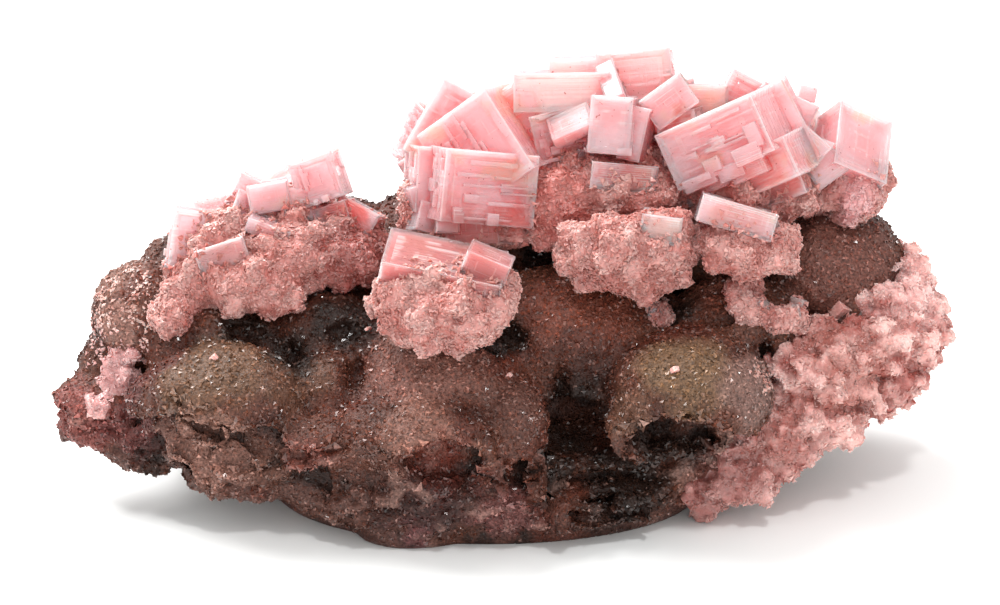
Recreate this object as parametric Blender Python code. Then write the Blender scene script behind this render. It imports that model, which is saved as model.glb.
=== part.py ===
"""Halite specimen: pink salt cubes on a lumpy brown matrix, with a granular salt crust at its right end.

Metres, +Z up. X runs along the specimen, -Y is its front, and the origin is on the flat patch that it
rests on, near the middle of its length. Places and sizes are written in millimetres for a specimen
150 mm long, and angles in degrees.
"""

from math import radians

import bmesh
import bpy
import numpy as np
from mathutils import Euler, Matrix, Vector, noise

# Driving dimensions
LENGTH = 0.150  # the whole specimen along X
MM = LENGTH / 150.0  # one millimetre of the layout below
GAP = 0.85  # how far the matrix is swollen before what grows on it is cut to fit
ALLOWANCE_SHARE = 0.55  # triangles that the swollen copy of the matrix keeps, which eats into the gap
MATRIX_VOXEL = 1.3  # grid on which the matrix lumps are melted together
SALT_VOXEL = 1.1  # the same for the sugary salt under the crystals
CRUST_VOXEL = 0.9  # the same for the crust and its knobs
MATRIX_TRIANGLES = 2800
LUMP_RELIEF = 0.7  # how far the small botryoidal swellings of the matrix stand out
LUMP_PITCH = 8.0  # how far apart they are
SALT_RELIEF = 0.5  # the same for the sugary salt
SALT_PITCH = 3.0
SWELL_LEVEL = 0.45  # distance from a swelling's middle, in pitches, where the skin keeps its height
STEP_DEPTH = 0.35  # how far the hopper steps sink into a cube's faces
STEP_RIM = 0.13  # their width, as a share of the face's shorter side
STEPPED_FACE = 6.5  # faces narrower than this stay plain
GROUND_DEPTH = 30.0  # thickness of the block that cuts the underside flat
SHARP_ANGLE = 30.0  # edges that turn more than this stay sharp on the round pieces

# The matrix: name, centre, radii
MATRIX_LUMPS = [
    ("core", (0, 3, 17), (58, 24, 15)),
    ("foot", (-2, -6, 6), (44, 27, 10)),
    ("front_left_dome", (-44, -20, 23), (14, 11, 8.5)),
    ("front_left_brow", (-52, -16, 20), (10, 9, 7)),
    ("left_knob", (-28, -18, 24), (6, 7, 5.5)),
    ("front_middle_dome", (-11, -19, 21), (17.5, 14, 11.5)),
    ("front_middle_shoulder", (-20, -19, 22), (11, 10, 8.5)),
    ("lip", (-14, -26, 19), (17, 11.5, 7)),
    ("lip_left", (-29, -25, 17), (9, 8, 5.5)),
    ("front_corner", (2, -25, 11), (8, 10, 9)),
    ("front_corner_top", (3, -23, 19), (6, 8, 7)),
    ("low_middle", (-14, -24, 8), (19, 11, 9)),
    ("low_left", (-39, -18, 12), (18, 12, 9)),
    ("left_shelf", (-48, -6, 28), (14, 10, 7)),
    ("left_hollow_dome", (-29, -6, 28), (10, 9, 8)),
    ("middle_hollow_dome", (-19, -8, 28), (9, 9, 7)),
    ("centre_dome", (12, -5, 28), (20, 14, 12)),
    ("centre_skirt", (7, -14, 21), (15, 10, 9)),
    ("right_dome", (31, -21, 24), (13.5, 13, 10.5)),
    ("right_dome_lip", (24, -25, 19), (8, 8, 5)),
    ("right_shoulder", (39, -8, 31), (11, 10, 8)),
    ("right_back_dome", (55, 8, 36), (14, 14, 10.5)),
    ("right_end", (60, 5, 27), (10, 13, 11)),
    ("right_flank", (46, -6, 18), (11, 9, 9)),
    ("low_right", (30, -12, 10), (15, 11, 9)),
    ("left_upper", (-59, 0, 30), (10, 12, 9)),
    ("left_back_upper", (-50, 9, 34), (12, 11, 8)),
    ("left_end", (-66, -8, 14), (8.5, 9, 8)),
    ("left_end_low", (-58, -11, 12), (10, 9, 8.5)),
    ("left_end_upper", (-66, -2, 23), (7, 9, 7)),
    ("ridge_left", (-30, 16, 35), (15, 14, 10)),
    ("ridge_middle", (-10, 16, 38), (13, 14, 9)),
    ("ridge_centre", (10, 15, 40), (14, 14, 9)),
    ("ridge_right", (34, 13, 40), (16, 15, 9)),
    ("back_left", (-45, 22, 21), (16, 13, 13)),
    ("back_left_low", (-34, 27, 12), (14, 10, 8)),
    ("back_left_high", (-52, 15, 29), (10, 10, 9)),
    ("back_middle", (-22, 29, 20), (14, 12, 12)),
    ("back_middle_high", (-17, 24, 33), (11, 10, 8)),
    ("back_middle_low", (-10, 31, 10), (13, 9, 8)),
    ("back_centre", (6, 31, 24), (18, 11, 11)),
    ("back_centre_low", (14, 30, 13), (15, 9, 9)),
    ("back_centre_high", (14, 25, 35), (9, 9, 8)),
    ("back_right", (33, 27, 20), (15, 12, 11)),
    ("back_right_high", (38, 23, 32), (12, 11, 9)),
    ("back_right_low", (33, 24, 10), (13, 10, 8)),
    ("back_right_end", (55, 18, 27), (12, 13, 12)),
    ("back_right_knob", (51, 26, 20), (7, 7, 6)),
    ("back_left_knob", (-58, 20, 17), (7, 7, 6)),
    ("under_left", (-47, 2, 13), (15, 16, 9)),
    ("under_right", (44, 4, 15), (14, 17, 10)),
]
# Hollows pushed into the matrix: centre of each, radius, depth
PITS = [
    ((-47, -29, 13), 4.0, 1.8),
    ((-38, -30, 11), 4.5, 2.2),
    ((-31, -32, 14), 3.5, 1.6),
    ((-26, -34, 9), 4.0, 2.0),
    ((-17, -36, 13), 4.0, 2.2),
    ((-9, -36, 14), 4.5, 2.4),
    ((-3, -34, 12), 3.5, 1.8),
    ((-12, -35, 6), 3.5, 1.4),
    ((-21, -33, 5), 3.5, 1.2),
    ((-55, -22, 10), 3.5, 1.4),
    ((14, -21, 15), 8.0, 5.0),
    ((21, -23, 12), 6.5, 4.0),
    ((20, -20, 20), 5.0, 2.5),
    ((-18, -12, 33), 6.5, 3.0),
    ((-30, -13, 27), 5.5, 2.5),
    ((27, -12, 35), 6.0, 2.0),
    ((-5, -8, 34), 6.0, 2.0),
    ((-60, -14, 19), 5.0, 1.8),
    ((50, -2, 34), 6.0, 1.8),
    ((-6, 40, 12), 6.0, 2.2),
    ((-34, 35, 13), 6.5, 2.0),
    ((24, 39, 16), 6.0, 2.2),
    ((47, 32, 18), 5.0, 1.8),
    ((-4, 30, 36), 5.0, 1.6),
]

# Salt cubes: name, centre, size, turn about X, Y and Z in degrees
MAIN_CUBES = [
    ("back_left", (-7, 10.5, 58.5), (14, 14, 13), (72, 29, -7)),
    ("big_diamond", (-2, 2, 58.5), (14.6, 15.6, 12), (77, -38, -2)),
    ("low_front", (-3, -3, 53.5), (16.5, 12, 12), (77, 10, 5)),
    ("low_recess", (-1.5, -1, 47), (12, 6.5, 10), (76, 9, 2)),
    ("low_tab", (-8.5, -8, 49.5), (4, 5, 4), (70, 5, 3)),
    ("slab_long", (10.5, 7, 67), (16, 6.5, 10), (78, -2, -4)),
    ("slab_step", (13, 13, 69.5), (9, 3.2, 10), (78, -2, -4)),
    ("slab_top", (23, 11.5, 68), (12.5, 9.5, 11), (76, -7, -5)),
    ("upright", (18.5, -1, 63.5), (7, 9.5, 8), (76, 2, -9)),
    ("wedge", (28, 2.5, 66.5), (8.2, 6, 9), (73, -36, 5)),
    ("narrow", (22.5, -1.5, 62), (4, 9, 6), (72, 7, -19)),
    ("low_bar", (20, -3, 55.5), (11, 4.5, 8), (80, 6, 3)),
    ("big_bar", (37.5, -2.5, 62), (18.4, 10, 14), (84, -29, -22)),
    ("big_bar_terrace", (41, -5.5, 57), (12, 5, 8), (84, -29, -22)),
    ("big_bar_foot", (46, -4, 54.5), (9, 6, 7), (80, -25, -14)),
    ("side_plate", (48, 2.5, 63), (5, 14.5, 9), (78, -29, -3)),
    ("behind_bar", (41, 12.5, 63.5), (8.4, 8.4, 9), (72, 26, -10)),
    ("right_block", (48, 10, 63), (10, 5.5, 8), (72, 22, -15)),
    ("right_chip", (51.5, 10.5, 65.5), (3, 2.6, 4), (75, 11, -4)),
    ("gap_block", (34.5, 9, 65), (7, 5, 7), (76, 0, 0)),
    ("right_slab", (50.5, 1, 60), (9, 4, 7), (62, 35, -28)),
    ("wing", (53.5, -1, 56), (6, 5, 4), (71, -33, 13)),
    ("right_cube", (58.5, 4.5, 58.5), (7.4, 10.4, 12.4), (-33, -38, -55)),
    ("hidden_left", (-10, 19, 54), (11, 11, 10), (12, 20, 30)),
    ("hidden_centre", (4, 21, 57), (12, 10, 11), (-14, 9, 52)),
    ("hidden_middle", (17, 22, 60), (10, 12, 11), (25, -12, 18)),
    ("hidden_right", (32, 20, 57), (13, 11, 11), (-18, 24, 36)),
    ("hidden_end", (45, 19, 56), (10, 9, 10), (15, -20, 64)),
]
LEFT_CUBES = [
    ("left_cube", (-30, 3, 53), (7.8, 8, 7), (76, -20, -4)),
    ("left_glassy", (-42, 5, 49.5), (6, 6, 6), (73, 26, -10)),
    ("left_box", (-38.5, 1, 50.5), (7, 5, 6), (77, -8, 8)),
    ("left_wing", (-23.5, 1, 47), (7.5, 4, 6), (68, 23, -19)),
    ("left_end", (-51.5, -2, 44), (6.5, 10, 8), (76, 10, 5)),
    ("left_ledge", (-38, -5, 47), (8, 3, 6), (84, 19, -7)),
    ("left_pale", (-45.5, -8.5, 44.5), (9, 5, 7), (89, -17, 6)),
    ("left_hidden", (-34, 10, 48), (9, 8, 8), (20, -25, 40)),
    ("left_hidden_low", (-47, 9, 44), (7, 7, 7), (-20, 18, 60)),
]
FRONT_CUBES = [
    ("front_table", (-11, -20.5, 45.2), (15, 3.4, 13), (98, 6, -2)),
    ("front_bar", (-2, -22, 46.5), (7.5, 4, 6), (89, 21, -8)),
]
MIDDLE_CUBES = [
    ("middle_box", (26, -11.5, 51), (6, 3.5, 5), (82, 6, -2)),
    ("middle_left", (15.5, -12, 48.5), (5, 4, 5), (70, -22, 10)),
    ("middle_low", (22, -15, 46.5), (5, 5, 4), (60, 15, 35)),
]
SMALL_RIGHT_CUBES = [
    ("small_slab", (38, -11.7, 52.4), (12, 2.8, 7), (72, 15, -6)),
    ("small_under", (42, -13, 48.5), (6, 5, 5), (66, -12, 20)),
]
ARC_CUBES = [
    ("arc_top", (41.5, -8.5, 39), (2.4, 2.6, 2.4), (20, 30, 10)),
    ("arc_left", (38.3, -12.3, 38.4), (2.6, 2.4, 2.2), (50, 10, 30)),
    ("arc_middle", (42.6, -14.6, 36.4), (3, 2.2, 2.4), (15, 40, 0)),
    ("arc_bottom", (45.2, -15.6, 34.2), (3, 2.6, 2.6), (30, 20, 50)),
    ("arc_right", (47.4, -13, 34.8), (3, 2.6, 2.4), (60, 0, 20)),
    ("arc_tip", (49, -9.5, 35), (2.8, 2.4, 2.4), (10, 20, 70)),
]
SINGLE_CUBES = [("single", (24.9, -11, 34.4), (2.6, 3.4, 3.2), (25, 35, 30))]

# Sugary salt under each group of cubes: centre, radii
MAIN_SALT = [
    ((-12, 2, 50), (6, 7, 7)),
    ((-14, 0, 52.5), (3, 5, 6)),
    ((-3, 1, 46), (9, 7, 5)),
    ((13, 3, 50), (11, 9, 8)),
    ((9, -3, 49.5), (5, 5, 6)),
    ((23, 0, 52), (9, 8, 6)),
    ((39, 0, 52.5), (11, 9, 6)),
    ((47, -1, 53), (5.5, 6, 5)),
    ((60, 5, 51), (5.5, 7, 6)),
    ((52, 8, 52), (8, 8, 6)),
    ((10, 13, 53), (17, 11, 9)),
    ((34, 13, 54), (14, 10, 8)),
    ((-6, 15, 50), (9, 8, 6)),
]
LEFT_SALT = [
    ((-41, -8, 38.5), (9.5, 7, 5)),
    ((-35, -3, 42), (9, 8, 5.5)),
    ((-26, -1, 41.5), (8, 7, 5)),
    ((-50, -5, 39), (5, 6, 4)),
    ((-53, -10, 35), (4, 4, 3.2)),
    ((-46, -3, 43), (7, 7, 5)),
    ((-37, 4, 44), (10, 8, 5)),
]
FRONT_SALT = [
    ((-9.5, -22, 40), (11, 8, 6.5)),
    ((-4, -21, 42.5), (6.5, 6, 5.5)),
    ((-9, -25, 34.5), (4, 3.5, 3)),
]
MIDDLE_SALT = [
    ((19, -14, 46), (8.5, 6.5, 6)),
    ((26, -14, 46), (5, 5.5, 6)),
    ((14, -13, 46.5), (5, 4.5, 3.5)),
    ((22, -14.5, 42), (6, 5, 3.5)),
]
SMALL_RIGHT_SALT = [
    ((39, -12, 48), (7.5, 6, 5.5)),
    ((44, -12, 46), (4, 4.5, 3.5)),
]
ARC_SALT = [
    ((41, -10.5, 38.2), (2.2, 2.6, 1.8)),
    ((39, -12.5, 37.6), (2.2, 2, 1.8)),
    ((41.5, -13.8, 36.6), (2.4, 2, 2)),
    ((44.2, -14.8, 34.8), (2.2, 2, 2.2)),
    ((46.6, -13.5, 34), (2, 2.2, 2)),
    ((48.6, -10.5, 33.8), (2, 2.5, 2)),
]
SINGLE_SALT = [((24.4, -10.2, 33.6), (2, 2, 1.8))]
RIGHT_CRUST = [
    ((67, 6, 32), (6, 9, 8)),
    ((69, 5, 26), (7, 11, 7.5)),
    ((64, -4, 26), (8.5, 9, 9)),
    ((60, -6, 20.5), (9, 8, 7.5)),
    ((56, -9, 27), (6, 6, 5)),
    ((51, -11, 25), (7, 7.5, 7)),
    ((52, -10, 18.5), (9, 8, 7)),
    ((46, -14, 15), (8, 7, 6.5)),
    ((40.5, -15, 9.5), (7, 7, 5.5)),
    ((35, -17, 6), (5, 6, 3.5)),
    ((68, 15, 25), (6, 9, 8.5)),
    ((63, 22, 22), (6, 6, 7)),
]
LEFT_CRUST = [
    ((-64, -9, 22), (3.5, 4, 5)),
    ((-66, -11, 17), (4, 4, 4)),
    ((-62, -12, 18.5), (3.5, 3.5, 3.5)),
]
KNOB_RADII = (1.2, 2.3)
KNOB_SEED = 7

# Name, cubes, salt, triangles in the salt
CRYSTAL_GROUPS = [
    ("crystals_main", MAIN_CUBES, MAIN_SALT, 560),
    ("crystals_left", LEFT_CUBES, LEFT_SALT, 360),
    ("crystal_front", FRONT_CUBES, FRONT_SALT, 220),
    ("crystals_middle", MIDDLE_CUBES, MIDDLE_SALT, 220),
    ("crystals_small_right", SMALL_RIGHT_CUBES, SMALL_RIGHT_SALT, 160),
    ("crystals_arc", ARC_CUBES, ARC_SALT, 140),
    ("cube_single", SINGLE_CUBES, SINGLE_SALT, 40),
]
# Name, lumps, salt knobs fused over them, triangles
CRUSTS = [
    ("crust_right", RIGHT_CRUST, 150, 1150),
    ("crust_left", LEFT_CRUST, 14, 140),
]

COLOURS = {  # base colour, roughness
    "brown_matrix": ((0.115, 0.055, 0.042), 0.7),
    "pink_halite": ((0.86, 0.42, 0.42), 0.15),
    "pink_crust": ((0.80, 0.45, 0.40), 0.45),
}


def clear_scene():
    for item in list(bpy.data.objects):
        bpy.data.objects.remove(item, do_unlink=True)


def material(name):
    colour, roughness = COLOURS[name]
    made = bpy.data.materials.get(name) or bpy.data.materials.new(name)
    made.use_nodes = True
    shader = made.node_tree.nodes["Principled BSDF"]
    shader.inputs["Base Color"].default_value = (*colour, 1)
    shader.inputs["Roughness"].default_value = roughness
    return made


def helper_object(name, mesh_data):
    """An object that shapes others and is left out of the part."""
    made = bpy.data.objects.new(name, mesh_data)
    bpy.context.scene.collection.objects.link(made)
    made.hide_render = True
    made.display_type = "WIRE"
    return made


def show(obj, finish):
    """Makes a helper a piece of the part, with its material."""
    obj.hide_render = False
    obj.display_type = "TEXTURED"
    obj.data.materials.clear()
    obj.data.materials.append(material(finish))
    obj.data.shade_smooth()
    obj.data.set_sharp_from_angle(angle=radians(SHARP_ANGLE))
    return obj


def from_bmesh(name, bm):
    bmesh.ops.recalc_face_normals(bm, faces=bm.faces)
    data = bpy.data.meshes.new(name)
    bm.to_mesh(data)
    bm.free()
    return helper_object(name, data)


def settle(obj):
    """Replaces an object's mesh with what its modifiers make of it."""
    bpy.context.view_layer.update()
    graph = bpy.context.evaluated_depsgraph_get()
    data = bpy.data.meshes.new_from_object(obj.evaluated_get(graph))
    obj.modifiers.clear()
    obj.data = data
    return obj


def remeshed(obj, voxel):
    remesh = obj.modifiers.new("melt", "REMESH")
    remesh.mode = "VOXEL"
    remesh.voxel_size = voxel * MM
    return settle(obj)


def thinned(obj, triangles):
    """The same shape with about this many triangles."""
    now = sum(len(face.vertices) - 2 for face in obj.data.polygons)
    thin = obj.modifiers.new("thin", "DECIMATE")
    thin.ratio = min(1.0, triangles / now)
    thin.use_collapse_triangulate = True
    return settle(obj)


def boolean(obj, operation, other, solver="MANIFOLD"):
    """Joins or cuts with a helper and removes it. The exact solver loses the shape in long runs of unions."""
    cut = obj.modifiers.new(operation.lower(), "BOOLEAN")
    cut.operation = operation
    cut.solver = solver
    cut.object = other
    settle(obj)
    bpy.data.objects.remove(other, do_unlink=True)
    return obj


def raised(obj, height):
    """Moves each vertex along its normal by height(place), in metres."""
    bm = bmesh.new()
    bm.from_mesh(obj.data)
    bm.normal_update()
    moves = [vertex.normal * height(vertex.co) for vertex in bm.verts]
    for vertex, move in zip(bm.verts, moves):
        vertex.co += move
    bm.to_mesh(obj.data)
    bm.free()
    return obj


def swollen(obj, relief, pitch):
    """Raises rounded swellings about a pitch apart over the whole skin."""

    def height(place):
        distances, _ = noise.voronoi(place / (pitch * MM))
        return relief * MM * (SWELL_LEVEL - distances[0])

    return raised(obj, height)


def pitted(obj, pits):
    """Pushes round hollows into the skin."""

    def height(place):
        sunk = 0.0
        for centre, radius, depth in pits:
            share = (place - Vector(centre) * MM).length / (radius * MM)
            if share < 1:
                sunk = max(sunk, depth * MM * (1 - share**2) ** 2)
        return -sunk

    return raised(obj, height)


def ellipsoid(bm, centre, radii, subdivisions=3):
    place = Matrix.Translation(Vector(centre) * MM) @ Matrix.Diagonal((*(Vector(radii) * MM), 1))
    bmesh.ops.create_icosphere(bm, subdivisions=subdivisions, radius=1, matrix=place)


def melted(name, lumps, voxel):
    """Lumps melted into one skin on a voxel grid."""
    bm = bmesh.new()
    for centre, radii in lumps:
        ellipsoid(bm, centre, radii)
    return remeshed(from_bmesh(name, bm), voxel)


def flat_underside(obj):
    """Cuts the object flat at Z = 0, where it stands."""
    bm = bmesh.new()
    side = 2 * LENGTH
    depth = GROUND_DEPTH * MM
    place = Matrix.Translation((0, 0, -depth / 2)) @ Matrix.Diagonal((side, side, depth, 1))
    bmesh.ops.create_cube(bm, size=1, matrix=place)
    return boolean(obj, "DIFFERENCE", from_bmesh("ground", bm), solver="EXACT")


def make_matrix():
    lumps = [(centre, radii) for _, centre, radii in MATRIX_LUMPS]
    obj = melted("matrix", lumps, MATRIX_VOXEL)
    swollen(obj, LUMP_RELIEF, LUMP_PITCH)
    pitted(obj, PITS)
    thinned(obj, MATRIX_TRIANGLES)
    flat_underside(obj)
    return show(obj, "brown_matrix")


def allowance(piece, share=1.0):
    """A copy of a piece, swollen by the gap, that what grows against it is cut by."""
    obj = helper_object(piece.name + "_allowance", piece.data.copy())
    if share < 1:
        thinned(obj, share * len(obj.data.polygons))
    return raised(obj, lambda place: GAP * MM)


def fitted(obj, neighbours, finish):
    """Cuts the object clear of what it grows against, and adds it to them."""
    for neighbour in neighbours:
        boolean(obj, "DIFFERENCE", helper_object("cutter", neighbour.data.copy()))
    keep_largest(obj)
    neighbours.append(allowance(obj))
    return show(obj, finish)


def keep_largest(obj):
    """Drops the loose slivers that a cut can leave."""
    bm = bmesh.new()
    bm.from_mesh(obj.data)
    left = set(bm.verts)
    islands = []
    while left:
        island = set()
        front = [left.pop()]
        while front:
            vertex = front.pop()
            island.add(vertex)
            for edge in vertex.link_edges:
                other = edge.other_vert(vertex)
                if other in left:
                    left.discard(other)
                    front.append(other)
        islands.append(island)
    largest = max(islands, key=len)
    bmesh.ops.delete(bm, geom=[v for v in bm.verts if v not in largest], context="VERTS")
    bm.to_mesh(obj.data)
    bm.free()


def hopper_cube(bm, centre, size, turn):
    """A salt cube with a shallow step sunk into each broad face."""
    place = Matrix.Translation(Vector(centre) * MM) @ Euler([radians(a) for a in turn]).to_matrix().to_4x4()
    made = bmesh.ops.create_cube(bm, size=1, matrix=place @ Matrix.Diagonal((*(Vector(size) * MM), 1)))
    faces = {face for vertex in made["verts"] for face in vertex.link_faces}
    for face in sorted(faces, key=lambda face: face.index):
        shorter = min(edge.calc_length() for edge in face.edges)
        if shorter >= STEPPED_FACE * MM:
            rim = shorter * STEP_RIM
            bmesh.ops.inset_individual(bm, faces=[face], thickness=rim, depth=-STEP_DEPTH * MM)


def make_crystal_group(name, cubes, salt, salt_triangles, neighbours):
    """Cubes and the sugary salt beneath them, grown into one piece and fitted to the matrix."""
    obj = melted(name, salt, SALT_VOXEL)
    swollen(obj, SALT_RELIEF, SALT_PITCH)
    thinned(obj, salt_triangles)
    for _, centre, size, turn in cubes:
        bm = bmesh.new()
        hopper_cube(bm, centre, size, turn)
        boolean(obj, "UNION", from_bmesh("cube", bm))
    return fitted(obj, neighbours, "pink_halite")


def make_crust(name, lumps, knobs, triangles, neighbours):
    """A rind of salt with knobs of many sizes fused over it."""
    rng = np.random.default_rng(KNOB_SEED)
    rind = melted(name, lumps, SALT_VOXEL)
    skin = rind.data.vertices
    seats = [skin[i].co / MM for i in rng.choice(len(skin), knobs, replace=False)]
    bm = bmesh.new()
    bm.from_mesh(rind.data)
    for seat in seats:
        radius = rng.uniform(*KNOB_RADII)
        ellipsoid(bm, seat, (radius, radius, radius), subdivisions=2)
    bm.to_mesh(rind.data)
    bm.free()
    remeshed(rind, CRUST_VOXEL)
    thinned(rind, triangles)
    return fitted(rind, neighbours, "pink_crust")


def main():
    clear_scene()
    matrix = make_matrix()
    neighbours = [allowance(matrix, ALLOWANCE_SHARE)]
    for group in CRYSTAL_GROUPS:
        make_crystal_group(*group, neighbours)
    for crust in CRUSTS:
        make_crust(*crust, neighbours)
    for helper in neighbours:
        bpy.data.objects.remove(helper, do_unlink=True)


main()
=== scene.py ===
# %% [markdown]
# # Pink halite on a brown matrix
#
# A hand specimen: clear pink salt cubes on a lumpy brown rock of salt and mud, with a rind of coarser
# pink salt round its right end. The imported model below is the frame: plain solids at their real size.
# Each piece made here is placed in the same metres, so nothing has to be fitted to it afterwards.

# %% Load the frame
import math

import bmesh
import bpy
import numpy as np
from mathutils import Euler, Matrix, Vector, noise


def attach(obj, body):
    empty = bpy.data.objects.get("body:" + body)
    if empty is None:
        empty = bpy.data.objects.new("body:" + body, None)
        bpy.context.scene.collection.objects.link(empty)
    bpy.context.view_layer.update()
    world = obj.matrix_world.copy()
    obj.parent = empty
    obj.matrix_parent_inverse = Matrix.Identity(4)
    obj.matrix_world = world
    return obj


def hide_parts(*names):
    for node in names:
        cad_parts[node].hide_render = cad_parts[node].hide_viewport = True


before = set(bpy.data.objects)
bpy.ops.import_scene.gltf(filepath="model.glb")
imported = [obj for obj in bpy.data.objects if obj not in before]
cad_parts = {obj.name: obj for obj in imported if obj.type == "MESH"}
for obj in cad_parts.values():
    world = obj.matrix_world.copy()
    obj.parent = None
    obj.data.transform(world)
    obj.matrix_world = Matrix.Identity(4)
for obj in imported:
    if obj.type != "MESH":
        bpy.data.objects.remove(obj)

MM = 0.001  # sizes and places below are in millimetres
BODY = "root"  # the specimen has no joints, so everything rides on one body
noise.seed_set(1)  # without a seed of its own, noise_vector is different in every run
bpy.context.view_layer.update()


def new_object(name, mesh_data):
    made = bpy.data.objects.new(name, mesh_data)
    bpy.context.scene.collection.objects.link(made)
    return made


def from_bmesh(name, bm):
    """A new object from a bmesh, with its faces pointing outwards."""
    bmesh.ops.recalc_face_normals(bm, faces=bm.faces)
    data = bpy.data.meshes.new(name)
    bm.to_mesh(data)
    bm.free()
    return new_object(name, data)


def settle(obj):
    """Replaces an object's mesh with what its modifiers make of it."""
    bpy.context.view_layer.update()
    graph = bpy.context.evaluated_depsgraph_get()
    data = bpy.data.meshes.new_from_object(obj.evaluated_get(graph))
    obj.modifiers.clear()
    obj.data = data
    return obj


def in_order(obj):
    """Gives the corners and faces of a mesh a fixed order, which a Boolean leaves to chance."""
    bm = bmesh.new()
    bm.from_mesh(obj.data)
    keys = (lambda vert: tuple(vert.co), lambda face: [vert.index for vert in face.verts])
    for parts, key in zip((bm.verts, bm.faces), keys):
        ranks = {part.index: rank for rank, part in enumerate(sorted(parts, key=key))}
        parts.sort(key=lambda part: ranks[part.index])
        parts.index_update()
    bm.to_mesh(obj.data)
    bm.free()
    return obj


def drop(obj):
    bpy.data.objects.remove(obj, do_unlink=True)


def triangles(obj):
    return sum(len(face.vertices) - 2 for face in obj.data.polygons)


def finish(piece, finish_material, slot, *nodes):
    """Gives a piece its material, lets it ride on the body and stand for its CAD nodes."""
    piece.data.materials.clear()
    piece.data.materials.append(finish_material)
    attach(piece, BODY)
    if nodes:
        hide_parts(*nodes)
    print(f"{piece.name}: {triangles(piece)} triangles")
    return piece


# %% [markdown]
# ## Camera, light and floor
#
# The specimen stands on a white sheet under a broad soft light that comes from above, behind and to the
# left. That light makes the salt glow and leaves the front of the rock dark. A weak fill from the front
# lifts the rock's domes a little, and a small lamp gives the grains their sparkle. A long lens, a little
# above the table, keeps the cubes' edges nearly parallel.

# %% Camera
LENS = 100.0  # millimetres, on a 36 mm sensor
CAMERA_DISTANCE = 468 * MM
CAMERA_ELEVATION = math.radians(20)
LOOK_AT = Vector((0, 0, 32 * MM))
camera = bpy.data.objects.new("camera", bpy.data.cameras.new("camera"))
camera.data.lens = LENS
camera.data.sensor_width = 36
camera.data.clip_start = 10 * MM
towards_camera = Vector((0, -math.cos(CAMERA_ELEVATION), math.sin(CAMERA_ELEVATION)))
camera.location = LOOK_AT + CAMERA_DISTANCE * towards_camera
camera.rotation_euler = towards_camera.to_track_quat("Z", "Y").to_euler()
bpy.context.scene.collection.objects.link(camera)
bpy.context.scene.camera = camera
print("camera at", [round(v, 4) for v in camera.location])

# %% Lights and world
WORLD_STRENGTH = 1.12


def area_light(name, place, aim, side, power):
    light = bpy.data.lights.new(name, "AREA")
    light.shape = "SQUARE"
    light.size = side
    light.energy = power
    lamp = bpy.data.objects.new(name, light)
    lamp.location = place
    lamp.rotation_euler = (Vector(place) - Vector(aim)).to_track_quat("Z", "Y").to_euler()
    bpy.context.scene.collection.objects.link(lamp)
    return lamp


area_light("softbox", (-0.30, 0.25, 0.62), (0, 0, 0.03), 0.55, 10)
area_light("fill", (0.05, -0.75, 0.2), (0, 0, 0.04), 0.6, 1.7)
area_light("sparkle", (0.10, -0.30, 0.55), (0, 0, 0.03), 0.05, 1.1)
world = bpy.data.worlds.new("white_room")
world.use_nodes = True
world.node_tree.nodes["Background"].inputs["Color"].default_value = (1, 1, 1, 1)
world.node_tree.nodes["Background"].inputs["Strength"].default_value = WORLD_STRENGTH
bpy.context.scene.world = world
bpy.context.scene.view_settings.view_transform = "Standard"
bpy.context.scene.view_settings.look = "None"

# %% Floor
FLOOR_SIDE = 6.0
floor_bm = bmesh.new()
bmesh.ops.create_grid(floor_bm, x_segments=1, y_segments=1, size=FLOOR_SIDE / 2)
floor = from_bmesh("floor", floor_bm)
paper = bpy.data.materials.new("white_paper")
paper.use_nodes = True
paper.node_tree.nodes["Principled BSDF"].inputs["Base Color"].default_value = (0.86, 0.87, 0.86, 1)
paper.node_tree.nodes["Principled BSDF"].inputs["Roughness"].default_value = 0.6
floor.data.materials.append(paper)
print("floor:", FLOOR_SIDE, "m on a side")

# %% [markdown]
# ## Helpers for materials
#
# Every finish is one Principled BSDF. What changes over the surface comes from small node groups, so the
# same effect can be placed in several materials with other values.

# %% Node helpers


def linear(red, green, blue):
    """A screen colour from 0 to 255 as the linear colour that nodes take."""
    shares = [v / 255 for v in (red, green, blue)]
    return tuple(v / 12.92 if v <= 0.04045 else ((v + 0.055) / 1.055) ** 2.4 for v in shares)


def add(tree, kind, inputs=None, **settings):
    """A new node with its settings, and its inputs set to values or linked to other nodes' outputs."""
    node = tree.nodes.new(kind)
    for key, value in settings.items():
        setattr(node, key, value)
    for key, value in (inputs or {}).items():
        if isinstance(value, bpy.types.NodeSocket):
            tree.links.new(value, node.inputs[key])
        else:
            node.inputs[key].default_value = value
    return node


def maths(tree, operation, a, b):
    return add(tree, "ShaderNodeMath", {0: a, 1: b}, operation=operation).outputs[0]


def mixed(tree, share, a, b, blend="MIX"):
    """Two colours mixed by a share."""
    a, b = [(*c, 1) if isinstance(c, tuple) and len(c) == 3 else c for c in (a, b)]
    inputs = {0: share, 6: a, 7: b}
    return add(tree, "ShaderNodeMix", inputs, data_type="RGBA", blend_type=blend).outputs[2]


def ramp(tree, value, low, high, most=1.0):
    """0 below low and most above high, smooth between them. Low may be above high."""
    inputs = {"Value": value, "From Min": low, "From Max": high, "To Max": most}
    return add(tree, "ShaderNodeMapRange", inputs, interpolation_type="SMOOTHSTEP").outputs[0]


def scaled(tree, value, low, high):
    """A value from 0 to 1 brought to run from low to high."""
    return add(tree, "ShaderNodeMapRange", {"Value": value, "To Min": low, "To Max": high}).outputs[0]


def speckle(tree, place, size, detail=2.0, offset=0.0):
    """Noise whose blotches are about this many millimetres across, from 0 to 1."""
    inputs = {"Vector": place, "Scale": 1 / (size * MM), "Detail": detail, "W": offset}
    return add(tree, "ShaderNodeTexNoise", inputs, noise_dimensions="4D").outputs["Fac"]


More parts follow.
